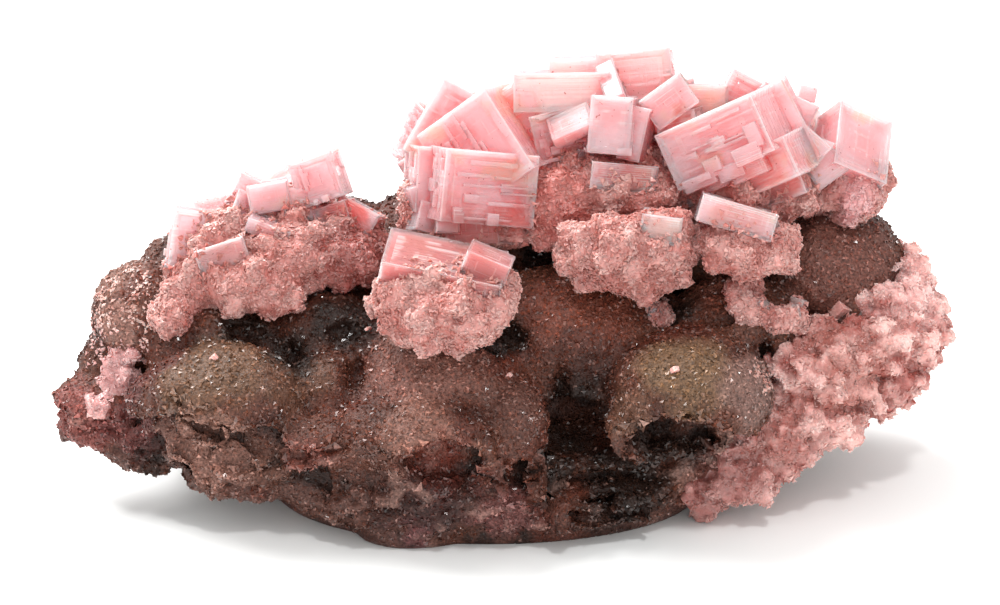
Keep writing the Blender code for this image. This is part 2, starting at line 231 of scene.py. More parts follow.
def attribute(tree, name, output="Fac"):
    return add(tree, "ShaderNodeAttribute", attribute_name=name).outputs[output]


def ragged_by(tree, place, size, reach):
    """Noise in metres, from -reach to reach, that makes ragged the edges of stain spots and of painted light
    and shade.
    """
    swing = maths(tree, "MULTIPLY", speckle(tree, place, size, 3, 7.0), 2 * reach * MM)
    return maths(tree, "SUBTRACT", swing, reach * MM)


def stained_and_shaded(tree, colour, place, colour_spots, most, ragged):
    """A colour with ragged balls of centre, radius and colour over it, full in their inner half: used for
    real stain and for painted light and shade alike.
    """
    for centre, radius, spot_colour in colour_spots:
        inputs = {0: place, 1: Vector(centre) * MM}
        away = add(tree, "ShaderNodeVectorMath", inputs, operation="DISTANCE").outputs["Value"]
        away = maths(tree, "ADD", away, ragged)
        share = ramp(tree, away, radius * MM, 0.45 * radius * MM, most)
        colour = mixed(tree, share, colour, spot_colour)
    return colour


def new_group(name, inputs, outputs):
    """A shader node group. Its inputs are (name, kind, default) and its outputs (name, kind)."""
    tree = bpy.data.node_groups.new(name, "ShaderNodeTree")
    for socket_name, kind, default in inputs:
        socket = tree.interface.new_socket(socket_name, in_out="INPUT", socket_type=kind)
        socket.default_value = default
    for socket_name, kind in outputs:
        tree.interface.new_socket(socket_name, in_out="OUTPUT", socket_type=kind)
    return tree, tree.nodes.new("NodeGroupInput").outputs, tree.nodes.new("NodeGroupOutput").inputs


def placed_group(tree, group_tree, inputs):
    """A group placed in another tree, with its named inputs set or linked. Returns its outputs."""
    return add(tree, "ShaderNodeGroup", inputs, node_tree=group_tree).outputs


SALT_IOR = 1.544  # the refractive index of halite


def new_material(name, roughness):
    made = bpy.data.materials.new(name)
    made.use_nodes = True
    shader = made.node_tree.nodes["Principled BSDF"]
    shader.inputs["Roughness"].default_value = roughness
    shader.inputs["IOR"].default_value = SALT_IOR
    return made, made.node_tree, shader


print("refractive index of the salt:", SALT_IOR)

# %% [markdown]
# ## Colour of the rock
#
# The rock is salt stained by mud. It is a dark red-brown, with olive-brown crowns on some of the domes, a
# grey-violet tone under their lips and pink salt where the crust thins out. Its hollows, pits and the ground
# under its lips are painted darker as shade, lit crowns partly lighter as painted light, the tips of the
# torn ground paler as salt and painted highlight, and pale specks are painted glints. One node group gives
# that colour anywhere on the specimen from Object coordinates, so the rock and the grains on it always
# agree.

# %% Places of the rock in other colours: its own stains, darker spots painted as shade in hollows and under lips, and lighter patches on the lit domes that are partly painted light: centre, radius, colour
ROCK_STAINS_LIGHT_AND_SHADE = [
    ((-44, -24, 30), 11, linear(134, 104, 80)),
    ((-50, -26, 26), 8, linear(132, 102, 80)),
    ((-33, -24, 29), 8, linear(122, 88, 70)),
    ((30, -28, 31), 10, linear(148, 120, 90)),
    ((39, -27, 27), 8, linear(164, 132, 124)),
    ((21, -29, 24), 6, linear(140, 104, 86)),
    ((-11, -22, 33), 14, linear(168, 120, 108)),
    ((-21, -28, 30), 7, linear(172, 124, 114)),
    ((-12, -36, 24), 9, linear(168, 124, 110)),
    ((-3, -37, 20), 4, linear(196, 150, 134)),
    ((3, -28, 24), 8, linear(126, 88, 78)),
    ((-48, -30, 15), 12, linear(184, 140, 126)),
    ((-36, -33, 14), 10, linear(132, 96, 84)),
    ((-9, -33, 16), 9, linear(150, 74, 60)),
    ((-30, -32, 16), 6, linear(140, 84, 74)),
    # painted shade: a dark spot under the front lip
    ((-10, -36, 9), 12, linear(70, 44, 42)),
    ((-14, -34, 2), 6, linear(140, 92, 94)),
    ((0, -32, 6), 8, linear(150, 100, 98)),
    ((40, -24, 7), 13, linear(176, 118, 110)),
    ((14, -12, 35), 13, linear(150, 86, 68)),
    # painted shade: a dark spot in the crevice under the centre dome
    ((14, -19, 26), 9, linear(80, 48, 40)),
    ((37, -8, 37), 6, linear(160, 102, 86)),
    # painted shade: a dark spot in the hollow between the front domes
    ((-22, -10, 31), 9, linear(96, 58, 48)),
    ((56, 0, 40), 13, linear(146, 98, 88)),
    ((-64, 0, 36), 9, linear(176, 134, 120)),
    ((-63, -9, 31), 5, linear(186, 142, 130)),
    ((-70, -12, 15), 9, linear(168, 98, 92)),
    ((-61, -16, 15), 7, linear(128, 70, 68)),
    ((-58, -17, 22), 5, linear(120, 70, 66)),
]
# Places in the hollows and under the crystal groups that are painted dark as shade: centre, radius
PAINTED_SHADE_SPOTS = [
    ((-34.5, -16, 28), 8),
    ((-42, -12, 31), 5),
    ((-25, -12, 32), 7),
    ((-1, -15, 31), 7),
    ((6, 2, 41), 6),
    ((28, -11, 36), 5),
    ((43, -16, 27), 5),
    ((12, -16, 18.5), 11),
    ((8, -26, 12), 6),
    ((26, -28, 17), 8),
    ((20, -24, 9), 11),
    ((34, -22, 14), 6),
    ((-56, -19, 8), 6),
    ((-4, -34, 12), 4),
]
ROCK_DARK = linear(84, 48, 38)
ROCK_BROWN = linear(120, 76, 61)
ROCK_RED = linear(122, 64, 50)
PAINTED_SHADE_DARK = linear(44, 34, 29)
PIT_SHADE_DARK = linear(58, 42, 37)
TORN_GREY = linear(134, 100, 92)
SALT_AND_GLINT_PALE = linear(220, 180, 168)
RUST_TINT = (0.9, 0.8, 0.76)

# %% Rock colour group
rock_group, rock_in, rock_out = new_group(
    "rock_colour",
    [
        ("Place", "NodeSocketVector", (0, 0, 0)),
        ("Torn", "NodeSocketFloat", 0.0),
        ("Relief", "NodeSocketFloat", 0.5),
    ],
    [("Color", "NodeSocketColor")],
)
rock_place = rock_in["Place"]
blotch = speckle(rock_group, rock_place, 9, 3)
rock_colour = mixed(rock_group, ramp(rock_group, blotch, 0.36, 0.62), ROCK_DARK, ROCK_BROWN)
red = ramp(rock_group, speckle(rock_group, rock_place, 14, 2, 3.0), 0.48, 0.66, 0.6)
rock_colour = mixed(rock_group, red, rock_colour, ROCK_RED)
grey = ramp(rock_group, speckle(rock_group, rock_place, 5, 3, 5.0), 0.42, 0.6, 0.55)
grey = maths(rock_group, "MULTIPLY", rock_in["Torn"], grey)
rock_colour = mixed(rock_group, grey, rock_colour, TORN_GREY)
ragged = ragged_by(rock_group, rock_place, 6, 6)
rock_colour = stained_and_shaded(rock_group, rock_colour, rock_place, ROCK_STAINS_LIGHT_AND_SHADE, 0.8, ragged)
# painted shade: the hollows and the places under the groups are darkened
painted_shade_patches = [(centre, radius, PAINTED_SHADE_DARK) for centre, radius in PAINTED_SHADE_SPOTS]
rock_colour = stained_and_shaded(rock_group, rock_colour, rock_place, painted_shade_patches, 0.85, ragged)
# painted shade: the pits of the torn ground are darker
pit_shade_share = ramp(rock_group, rock_in["Relief"], 0.42, 0.12, 0.85)
rock_colour = mixed(rock_group, pit_shade_share, rock_colour, PIT_SHADE_DARK)
# salt and painted highlight: the ridge tips of the torn ground are paler
tip_salt_and_highlight = ramp(rock_group, rock_in["Relief"], 0.62, 0.95, 0.4)
rock_colour = mixed(rock_group, tip_salt_and_highlight, rock_colour, SALT_AND_GLINT_PALE)
# painted glints: small pale specks scattered over the rock
speck = ramp(rock_group, speckle(rock_group, rock_place, 0.9, 1, 11.0), 0.66, 0.74, 0.35)
rock_colour = mixed(rock_group, speck, rock_colour, SALT_AND_GLINT_PALE)
rock_colour = mixed(rock_group, 1.0, rock_colour, RUST_TINT, "MULTIPLY")
rock_group.links.new(rock_colour, rock_out["Color"])
print("stained places:", len(ROCK_STAINS_LIGHT_AND_SHADE) + len(PAINTED_SHADE_SPOTS))

# %% Rock materials
GRAIN_SPOT, GRAIN_LEVELS = 0.45, (-0.2, 2.2)  # size of the light and dark specks, and how far they go


def rock_material(name, roughness, shine, tint_levels, bump_size, bump_height):
    """The rock's colour, varied a little from grain to grain, with a fine sugary bump."""
    made, tree, shader = new_material(name, roughness)
    shader.inputs["Specular IOR Level"].default_value = shine
    place = add(tree, "ShaderNodeTexCoord").outputs["Object"]
    inputs = {"Place": place, "Torn": attribute(tree, "torn"), "Relief": attribute(tree, "relief")}
    colour = placed_group(tree, rock_group, inputs)["Color"]
    level = scaled(tree, attribute(tree, "tint"), *tint_levels)
    fine_level = scaled(tree, speckle(tree, place, GRAIN_SPOT, 1), *GRAIN_LEVELS)
    level = maths(tree, "MULTIPLY", level, fine_level)
    tree.links.new(mixed(tree, 1.0, colour, level, "MULTIPLY"), shader.inputs["Base Color"])
    height = speckle(tree, place, bump_size, 1)
    bump = add(tree, "ShaderNodeBump", {"Height": height, "Distance": bump_height * MM, "Strength": 1.0})
    tree.links.new(bump.outputs["Normal"], shader.inputs["Normal"])
    return made


rock_skin_material = rock_material("brown_rock", 0.45, 0.2, (0.5, 0.5), 0.4, 0.35)
druse_material = rock_material("druse", 0.18, 0.4, (0.38, 1.0), 0.3, 0.03)
print("rock materials:", rock_skin_material.name, druse_material.name)

# %% [markdown]
# ## The rock
#
# A real lump like this is a heap of rounded bodies that grew into each other. It is made the same way:
# ellipsoids in the CAD's places are melted onto one fine voxel grid, which keeps the creases between the
# domes. A sculpted mesh would do as well, but could not be changed by a number. Hollows are cut out of
# the lump. Then every point is moved along its normal: swellings, beads on the domes, and under the lips
# of the domes a step back to torn ground with pits and ridges.

# %% Bodies of the rock: name, centre, radii
ROCK_LUMPS = [
    ("core", (0, 3, 17), (58, 24, 15)),
    ("foot", (-2, -6, 6), (44, 27, 10)),
    ("front_left_dome", (-44, -20, 23), (14, 11, 8.5)),
    ("front_left_brow", (-52, -16, 20), (10, 9, 7)),
    ("left_knob", (-28, -18, 24), (6, 7, 5.5)),
    ("front_middle_dome", (-10.5, -17, 22), (16.5, 11.5, 11.5)),
    ("front_middle_shoulder", (-18.5, -17, 22), (9, 9, 8.5)),
    ("lip", (-13, -27, 19), (15.5, 10.5, 7.2)),
    ("lip_left", (-29, -25, 17), (9, 8, 5.5)),
    ("front_corner", (2, -25, 11), (8, 10, 9)),
    ("front_corner_top", (2.5, -24, 20), (5.5, 8, 7)),
    ("foot_front", (-15, -26, 4), (12, 7, 4.5)),
    ("foot_front_right", (3, -24.5, 4.5), (8, 6.5, 4.5)),
    ("foot_front_left", (-28, -22, 5.5), (8, 6, 4.5)),
    ("recess_rim", (-2, -35, 18.5), (1.8, 4.5, 5.5)),
    ("low_middle", (-14, -24, 8), (19, 11, 9)),
    ("low_left", (-39, -18, 12), (18, 12, 9)),
    ("left_shelf", (-48, -6, 28), (14, 10, 7)),
    ("left_hollow_dome", (-29, -6, 28), (10, 9, 8)),
    ("middle_hollow_dome", (-19, -8, 28), (9, 9, 7)),
    ("centre_dome", (12, -5, 28), (20, 14, 12)),
    ("centre_skirt", (10, -10, 22.5), (13, 9, 8.5)),
    ("right_dome", (31, -21, 24), (13.5, 13, 10.5)),
    ("right_dome_lip", (24, -25, 19), (8, 8, 5)),
    ("right_shoulder", (39, -8, 31), (11, 10, 8)),
    ("right_back_dome", (55, 8, 36), (14, 14, 10.5)),
    ("right_end", (60, 5, 27), (10, 13, 11)),
    ("right_flank", (46, -6, 18), (11, 9, 9)),
    ("low_right", (30, -12, 10), (15, 11, 9)),
    ("left_upper", (-59, 0, 30), (10, 12, 9)),
    ("left_back_upper", (-50, 9, 34), (12, 11, 8)),
    ("left_end", (-67, -8, 14.5), (9.5, 9, 7.5)),
    ("left_end_low", (-58, -11, 12), (10, 9, 8.5)),
    ("left_end_upper", (-64.5, -2, 22), (6.5, 8, 6.5)),
    ("ridge_left", (-30, 16, 35), (15, 14, 10)),
    ("ridge_middle", (-10, 16, 38), (13, 14, 9)),
    ("ridge_centre", (10, 15, 40), (14, 14, 9)),
    ("ridge_right", (34, 13, 40), (16, 15, 9)),
    ("back_left", (-45, 22, 21), (16, 13, 13)),
    ("back_left_low", (-34, 27, 12), (14, 10, 8)),
    ("back_left_high", (-52, 15, 29), (10, 10, 9)),
    ("back_middle", (-22, 29, 20), (14, 12, 12)),
    ("back_middle_high", (-17, 24, 33), (11, 10, 8)),
    ("back_middle_low", (-10, 31, 10), (13, 9, 8)),
    ("back_centre", (6, 31, 24), (18, 11, 11)),
    ("back_centre_low", (14, 30, 13), (15, 9, 9)),
    ("back_centre_high", (14, 25, 35), (9, 9, 8)),
    ("back_right", (33, 27, 20), (15, 12, 11)),
    ("back_right_high", (38, 23, 32), (12, 11, 9)),
    ("back_right_low", (33, 24, 10), (13, 10, 8)),
    ("back_right_end", (55, 18, 27), (12, 13, 12)),
    ("back_right_knob", (51, 26, 20), (7, 7, 6)),
    ("back_gap_right", (24, 24, 28), (9, 8, 8)),
    ("back_gap_centre", (-2, 26, 31), (9, 8, 7)),
    ("back_left_knob", (-58, 20, 17), (7, 7, 6)),
    ("under_left", (-47, 2, 13), (15, 16, 9)),
    ("under_right", (44, 4, 15), (14, 17, 10)),
]
# Hollows cut out of the rock: centre, radii
CAVES = [
    ((13, -18, 16.8), (9, 9, 5)),
    ((10, -22, 22), (1.6, 7, 8)),
    ((28, -32, 18.5), (8, 8, 4.2)),
    ((20, -28, 10), (11, 6, 2.2)),
    ((15, -27, 5.6), (7, 4.5, 1.3)),
    ((-8.5, -39.5, 16), (7.8, 9, 5.8)),
    ((-23.5, -21, 27.5), (1.6, 5, 2.6)),
    ((-42, -12.5, 31), (4, 2.6, 1.5)),
    ((-37.5, -14.5, 29.5), (3, 3, 1.8)),
    ((-34.2, -16.5, 28), (1.8, 5, 2.4)),
    ((-25, -13, 31.5), (4, 2.4, 1.6)),
    ((-0.5, -16, 31.5), (5.5, 4.5, 3)),
    ((5.5, 0.5, 42), (4.5, 4.5, 4)),
    ((-17, -11, 34), (6, 2.6, 1.8)),
    ((26, -13, 36.5), (6, 3, 2)),
    ((35, -14.5, 34.5), (5, 2.6, 2)),
    ((43, -17, 27.5), (2, 4, 4.5)),
    ((-43.5, -30, 14.3), (3.6, 3.2, 1.6)),
    ((-39.2, -30, 16.4), (1.4, 3.5, 1.2)),
    ((-32.8, -32.5, 16.3), (1.8, 4, 1.4)),
    ((-49, -29, 19), (3.2, 3.5, 1.8)),
    ((-54, -24, 9), (3, 4, 3)),
    ((3.5, -33, 13.5), (1.2, 5, 4)),
    ((-6, 41, 12), (6, 2.4, 4)),
    ((-34, 36, 13), (6, 2.4, 5)),
    ((24, 40, 16), (6, 2.4, 4)),
    ((47, 33, 18), (5, 4, 5)),
]
print("the rock:", len(ROCK_LUMPS), "bodies and", len(CAVES), "hollows")


# %% Melting
ROCK_VOXEL = 0.7


def ellipsoid(bm, centre, radii, subdivisions=4):
    place = Matrix.Translation(Vector(centre) * MM) @ Matrix.Diagonal((*(Vector(radii) * MM), 1))
    bmesh.ops.create_icosphere(bm, subdivisions=subdivisions, radius=1, matrix=place)


def remeshed(obj, voxel, smoothing):
    """Melts an object onto a voxel grid and relaxes it."""
    melt = obj.modifiers.new("melt", "REMESH")
    melt.mode = "VOXEL"
    melt.voxel_size = voxel * MM
    relax = obj.modifiers.new("relax", "SMOOTH")
    relax.factor = 0.5
    relax.iterations = smoothing
    return settle(obj)


def melted(name, lumps, voxel, smoothing=3):
    bm = bmesh.new()
    for centre, radii in lumps:
        ellipsoid(bm, centre, radii)
    return remeshed(from_bmesh(name, bm), voxel, smoothing)


def hollowed(obj, caves, voxel, smoothing):
    """Cuts ellipsoids out of an object and melts the cut edges a little."""
    caver = melted("caves", caves, voxel, 0)
    cut = obj.modifiers.new("cut", "BOOLEAN")
    cut.operation = "DIFFERENCE"
    cut.solver = "MANIFOLD"
    cut.object = caver
    settle(obj)
    drop(caver)
    return remeshed(obj, voxel, smoothing)


print("the rock's grid:", ROCK_VOXEL, "mm")

# %% Helpers for corners of a mesh


def vertex_table(obj, what):
    """One row of three numbers for each vertex: its place ("co") or its normal ("normal")."""
    rows = np.empty(len(obj.data.vertices) * 3, np.float32)
    obj.data.vertices.foreach_get(what, rows)
    return rows.reshape(-1, 3)


def places_of(obj):
    return vertex_table(obj, "co") / MM


def move_to(obj, places):
    """Moves the vertices to places in metres."""
    obj.data.vertices.foreach_set("co", places.astype(np.float32).ravel())
    obj.data.update()
    return obj


def raise_skin(obj, height):
    """Moves each vertex along its normal by height(place, normal), all in millimetres."""
    places, normals = places_of(obj), vertex_table(obj, "normal")
    heights = np.array([height(Vector(p), Vector(n)) for p, n in zip(places, normals)], np.float32)
    return move_to(obj, (places + normals * heights[:, None]) * MM)


def lift(obj, least=0.0):
    """Brings vertices that lie lower than a height, in millimetres, up to it."""
    places = vertex_table(obj, "co")
    places[:, 2] = np.maximum(places[:, 2], least * MM)
    return move_to(obj, places)


def store(obj, name, values):
    """Keeps one number for each vertex as a named attribute."""
    kept = obj.data.attributes.new(name, "FLOAT", "POINT")
    kept.data.foreach_set("value", np.full(len(obj.data.vertices), values, np.float32))


def cell_distance(place, pitch):
    """How far a place lies from the nearest of scattered points, in pitches."""
    return noise.voronoi(Vector(place) / pitch)[0][0]


def turned(angles):
    """The rotation by angles about X, Y and Z, in degrees."""
    return Euler([math.radians(a) for a in angles]).to_matrix()


def smooth_step(low, high, value):
    share = min(1.0, max(0.0, (value - low) / (high - low)))
    return share * share * (3 - 2 * share)


def inside_lumps(places, lumps, swell=1.0):
    """Which places, in millimetres, lie inside any of the ellipsoids."""
    found = np.zeros(len(places), bool)
    for centre, radii in lumps:
        found |= (((places - centre) / (np.array(radii) * swell)) ** 2).sum(1) < 1
    return found


# %% Relief of the rock
SWELLING_PITCH, SWELLING_RELIEF, SWELLING_LEVEL = 8.0, 0.9, 0.45
LIP_ALONG_X = [-60, -57, -51, -46, -40, -34, -27, -20, -12, -4, -1, 4, 9, 17, 21, 25, 32, 36, 42, 50]
LIP_HEIGHTS = [20, 22, 25.5, 24.5, 21.5, 21, 22, 21, 21.5, 21, 18, 16, 18, 20, 21, 25, 25.5, 22, 17, 12]
LIP_NOISE = [(6, 2.0), (1.8, 1.2)]  # pitch and reach of the ragged edge of the lips
LIP_EDGE = (-1.0, 0.6)  # the torn ground begins between these heights above the lip
LEVEL_GROUND = (0.45, 0.7)  # and ends where the ground lies as level as this
STEP_BACK = 2.0
BEAD_PITCH, BEAD_RELIEF = 2.0, 0.6
PIT_PITCH, PIT_RADIUS, PIT_DEPTH = 3.6, 0.62, 2.2  # the radius is a share of the pitch
RIDGE_PITCH, RIDGE_RELIEF = 6.0, 1.6
RIDGE_FRACTAL = (0.8, 2.2, 4)  # roughness, step in scale and number of steps
WARP_PITCH, WARP = 2.4, 1.3
GRAIN_PITCH, GRAIN_RELIEF = 1.0, 0.45
FLAT_FOOT = 1.4  # the relief fades out over this height above the floor


def torn_share(place, normal):
    """1 on the broken, pitted ground under the lips of the domes, 0 on the domes."""
    lip = np.interp(place.x, LIP_ALONG_X, LIP_HEIGHTS)
    ragged = sum(reach * noise.noise(place / pitch) for pitch, reach in LIP_NOISE)
    low = 1 - smooth_step(lip + LIP_EDGE[0], lip + LIP_EDGE[1], place.z + ragged)
    return low * (1 - smooth_step(*LEVEL_GROUND, normal.z))


def torn_relief(place):
    """Height of the torn ground: slanting ridges with ragged pits between them."""
    bent = place + WARP * noise.noise_vector(place / WARP_PITCH)
    slanted = Vector((bent.x * 0.75 + bent.z * 0.45, bent.y * 0.8, bent.z * 1.1 - bent.x * 0.5))
    pit = max(0.0, 1 - cell_distance(slanted, PIT_PITCH) / PIT_RADIUS)
    ridge = RIDGE_RELIEF * noise.fractal(slanted / RIDGE_PITCH, *RIDGE_FRACTAL)
    return ridge - PIT_DEPTH * pit


def rock_height(place, normal):
    """Height of the rock's skin: beads and swellings on the domes, torn ground set back under them."""
    torn = torn_share(place, normal)
    swelling = SWELLING_RELIEF * (SWELLING_LEVEL - cell_distance(place, SWELLING_PITCH))
    bead = BEAD_RELIEF * (0.5 - cell_distance(place, BEAD_PITCH))
    grain = GRAIN_RELIEF * noise.noise(place / GRAIN_PITCH)
    ground = torn_relief(place) - STEP_BACK
    return smooth_step(0.0, FLAT_FOOT, place.z) * (swelling + grain + (1 - torn) * bead + torn * ground)


print("deepest step back under the lips:", STEP_BACK + PIT_DEPTH, "mm")

# %% The rock's surface
ROCK_BODIES = [(centre, radii) for _, centre, radii in ROCK_LUMPS]
BARE_FOOT, BARE_BLEND = 1.0, 0.8  # no grains below this height, and all of them this much above it
rock = lift(hollowed(melted("matrix_rock", ROCK_BODIES, ROCK_VOXEL), CAVES, ROCK_VOXEL, 2))
places, normals = places_of(rock), vertex_table(rock, "normal")
torn_values = np.array([torn_share(Vector(p), Vector(n)) for p, n in zip(places, normals)])
relief_values = np.array([torn_relief(Vector(p)) for p in places])
store(rock, "torn", torn_values)
store(rock, "relief", 0.5 + torn_values * np.clip(relief_values / 4 + 0.1, -0.5, 0.5))
lift(raise_skin(rock, rock_height))
clear_of_floor = np.clip((places_of(rock)[:, 2] - BARE_FOOT) / BARE_BLEND, 0, 1)
rock.data.shade_smooth()
finish(rock, rock_skin_material, "brown_matrix", "matrix")

# %% [markdown]
# ## Grains by the thousand
#
# Druse is a skin of tiny salt crystals. Each shows only the corner of a cube, so a grain is a three-sided
# pyramid of six triangles. Geometry Nodes scatters them over a surface, turns and sizes each one at random,
# and realizes the copies so that they are real mesh.

# %% One grain


def cube_corner(name, edge=1.0):
    """A pyramid with the shape of a cube's corner, standing on Z = 0."""
    bm = bmesh.new()
    depth = edge / math.sqrt(3)
    bmesh.ops.create_cone(
        bm,
        cap_ends=True,
        cap_tris=True,
        segments=3,
        radius1=edge * math.sqrt(2 / 3),
        radius2=0,
        depth=depth,
        matrix=Matrix.Translation((0, 0, depth / 2)),
    )
    bmesh.ops.remove_doubles(bm, verts=bm.verts, dist=1e-6)
    return from_bmesh(name, bm)


corner = cube_corner("corner_grain")
corner.hide_render = True
corner.hide_viewport = True
print("corner grain:", triangles(corner), "triangles")

# %% Scatter
BESIDE_REACH = 1.7  # grains cling to a crystal up to this far from the sugar it stands in


def random_number(tree, seed, low, high):
    node = add(tree, "FunctionNodeRandomValue", {"Seed": seed}, data_type="FLOAT")
    node.inputs[2].default_value, node.inputs[3].default_value = low, high
    return node.outputs[1]


def near_other(tree, other, seed):
    """True at places within a random share of BESIDE_REACH of another object."""
    surface = add(tree, "GeometryNodeObjectInfo", {"Object": other}).outputs["Geometry"]
    away = add(tree, "GeometryNodeProximity", {0: surface}).outputs["Distance"]
    return maths(tree, "LESS_THAN", away, random_number(tree, seed, 0, BESIDE_REACH * MM))


def grains_on(tree, spots, grain, sizes, tilt, seed, near_by):
    """Copies of a grain at spots, each turned and sized at random."""
    lean = add(tree, "FunctionNodeRandomValue", {"Seed": seed + 1}, data_type="FLOAT_VECTOR")
    lean.inputs["Min"].default_value = (-tilt, -tilt, -math.pi)
    lean.inputs["Max"].default_value = (tilt, tilt, math.pi)
    inputs = {"Rotation": spots.outputs["Rotation"], "Rotate By": lean.outputs["Value"]}
    leaning = add(tree, "FunctionNodeRotateRotation", inputs, rotation_space="LOCAL")
    pick = add(tree, "GeometryNodeObjectInfo", {"Object": grain, "As Instance": True})
    inputs = {
        "Points": spots.outputs["Points"],
        "Instance": pick.outputs["Geometry"],
        "Rotation": leaning.outputs[0],
        "Scale": random_number(tree, seed + 2, *[s * MM for s in sizes]),
    }
    if near_by:
        inputs["Selection"] = near_other(tree, near_by, seed + 4)
    return add(tree, "GeometryNodeInstanceOnPoints", inputs).outputs[0]


def scatter(name, ground, grain, per_mm2, sizes, tilt, seed, sink=0.25, mask=None, beside=None):
    """Realized copies of a grain over a ground object, as a new piece. Sizes are in millimetres.

    Mask names an attribute of the ground that thins the grains out. Where beside is another object, only
    grains near its surface are kept.
    """
    tree = bpy.data.node_groups.new(name, "GeometryNodeTree")
    tree.interface.new_socket("Geometry", in_out="INPUT", socket_type="NodeSocketGeometry")
    tree.interface.new_socket("Geometry", in_out="OUTPUT", socket_type="NodeSocketGeometry")
    start, end = tree.nodes.new("NodeGroupInput"), tree.nodes.new("NodeGroupOutput")
    density = per_mm2 / MM**2
    if mask:
        share = add(tree, "GeometryNodeInputNamedAttribute", {"Name": mask}, data_type="FLOAT")
        density = maths(tree, "MULTIPLY", share.outputs["Attribute"], density)
    inputs = {"Mesh": start.outputs[0], "Density": density, "Seed": seed}
    spots = add(tree, "GeometryNodeDistributePointsOnFaces", inputs)
    sunk = add(tree, "GeometryNodeTranslateInstances")
    tree.links.new(grains_on(tree, spots, grain, sizes, tilt, seed, beside), sunk.inputs["Instances"])
    sunk.inputs["Translation"].default_value = (0, 0, -sink * sum(sizes) / 2 * MM)
    inputs = {"Geometry": sunk.outputs[0], "Name": "tint", "Value": random_number(tree, seed + 3, 0, 1)}
    tinted = add(tree, "GeometryNodeStoreNamedAttribute", inputs, data_type="FLOAT", domain="INSTANCE")
    solid = add(tree, "GeometryNodeRealizeInstances", {"Geometry": tinted.outputs[0]})
    tree.links.new(solid.outputs[0], end.inputs[0])
    piece = new_object(name, ground.data.copy())
    piece.modifiers.new("scatter", "NODES").node_group = tree
    return settle(piece)


print("grains cling within", BESIDE_REACH, "mm of the sugar")

# %% [markdown]
# ## Clear cubes
#
# Salt grows as cubes whose edges run ahead of their faces, so each face sinks inwards in flat steps, and
# small cubes of the same direction build terraces on its lower side. Each crystal is a bevelled box with
# stepped faces. Thin laths lie along its larger faces and blocks stand near its foot. Small fillers close
# the gaps between the crystals, and two tilted plates in the main group mirror the light above. A bump in
# the material could draw the steps too, but only real edges catch the light and break up the outline. All
# the crystals of a group are joined by Booleans into one clear solid, as they grew, because light bends
# wrongly where clear solids overlap.

# %% Crystals of each group: name, centre, size, turn about X, Y and Z in degrees
MAIN_CUBES = [
    ("back_left", (-7, 10.5, 58.5), (14, 14, 13), (72, 29, -7)),
    ("big_diamond", (-2, 2, 58.5), (14.6, 15.6, 12), (77, -38, -13)),
    ("low_front", (-3.5, -3, 53.5), (16.2, 12, 12), (77, 10, 17)),
    ("low_recess", (-1.5, -1, 47), (12, 6.5, 10), (76, 9, 2)),
    ("low_tab", (-8.5, -8, 49.5), (4, 5, 4), (70, 5, 3)),
    ("slab_long", (10.5, 7, 67), (16, 6.5, 10), (78, -2, -4)),
    ("slab_step", (13, 13, 69.5), (9, 3.2, 10), (78, -2, -4)),
    ("slab_top", (23, 11.5, 68), (12.5, 9.5, 11), (76, -7, -5)),
    ("upright", (18.5, -1, 63.5), (7, 9.5, 8), (76, 2, -9)),
    ("wedge", (28, 2.5, 66.5), (8.2, 6, 9), (73, -36, 5)),
    ("narrow", (22.5, -1.5, 62), (4, 9, 6), (72, 7, -19)),
    ("low_bar", (20, -3, 55.5), (11, 4.5, 8), (80, 6, 3)),
    ("big_bar", (37.5, -2.5, 62), (18.4, 10, 14), (84, -29, -22)),
    ("big_bar_terrace", (42.5, -5, 57.2), (16, 7, 10), (84, -29, -22)),
    ("big_bar_foot", (46, -4, 54.5), (9, 6, 7), (80, -25, -14)),
    ("side_plate", (48, 2.5, 63), (5, 14.5, 9), (78, -29, -3)),
    ("behind_bar", (41, 12.5, 63.5), (8.4, 8.4, 9), (72, 26, -10)),
    ("right_block", (48, 10, 63), (10, 5.5, 8), (72, 22, -15)),
    ("right_chip", (51.5, 10.5, 65.5), (3, 2.6, 4), (75, 11, -4)),
    ("gap_block", (34.5, 9, 65), (7, 5, 7), (76, 0, 0)),
    ("right_slab", (50.5, 1, 60), (9, 4, 7), (62, 35, -28)),
    ("wing", (53.5, -1, 56), (6, 5, 4), (71, -33, 13)),
    ("right_cube", (58.7, 4.5, 57.4), (7.4, 10.4, 12.4), (-33, -38, -55)),
    ("bright_low", (11.8, -1.0, 63.4), (7.5, 5.5, 2.2), (26, -25, 0)),
    ("bright_high", (18.8, 3, 68.4), (3.4, 9.5, 5), (26, -25, 0)),
    ("hidden_left", (-10, 19, 54), (11, 11, 10), (12, 20, 30)),
    ("hidden_centre", (4, 21, 57), (12, 10, 11), (-14, 9, 52)),
    ("hidden_middle", (17, 22, 60), (10, 12, 11), (25, -12, 18)),
    ("hidden_right", (32, 20, 57), (13, 11, 11), (-18, 24, 36)),
    ("hidden_end", (45, 19, 56), (10, 9, 10), (15, -20, 64)),
]
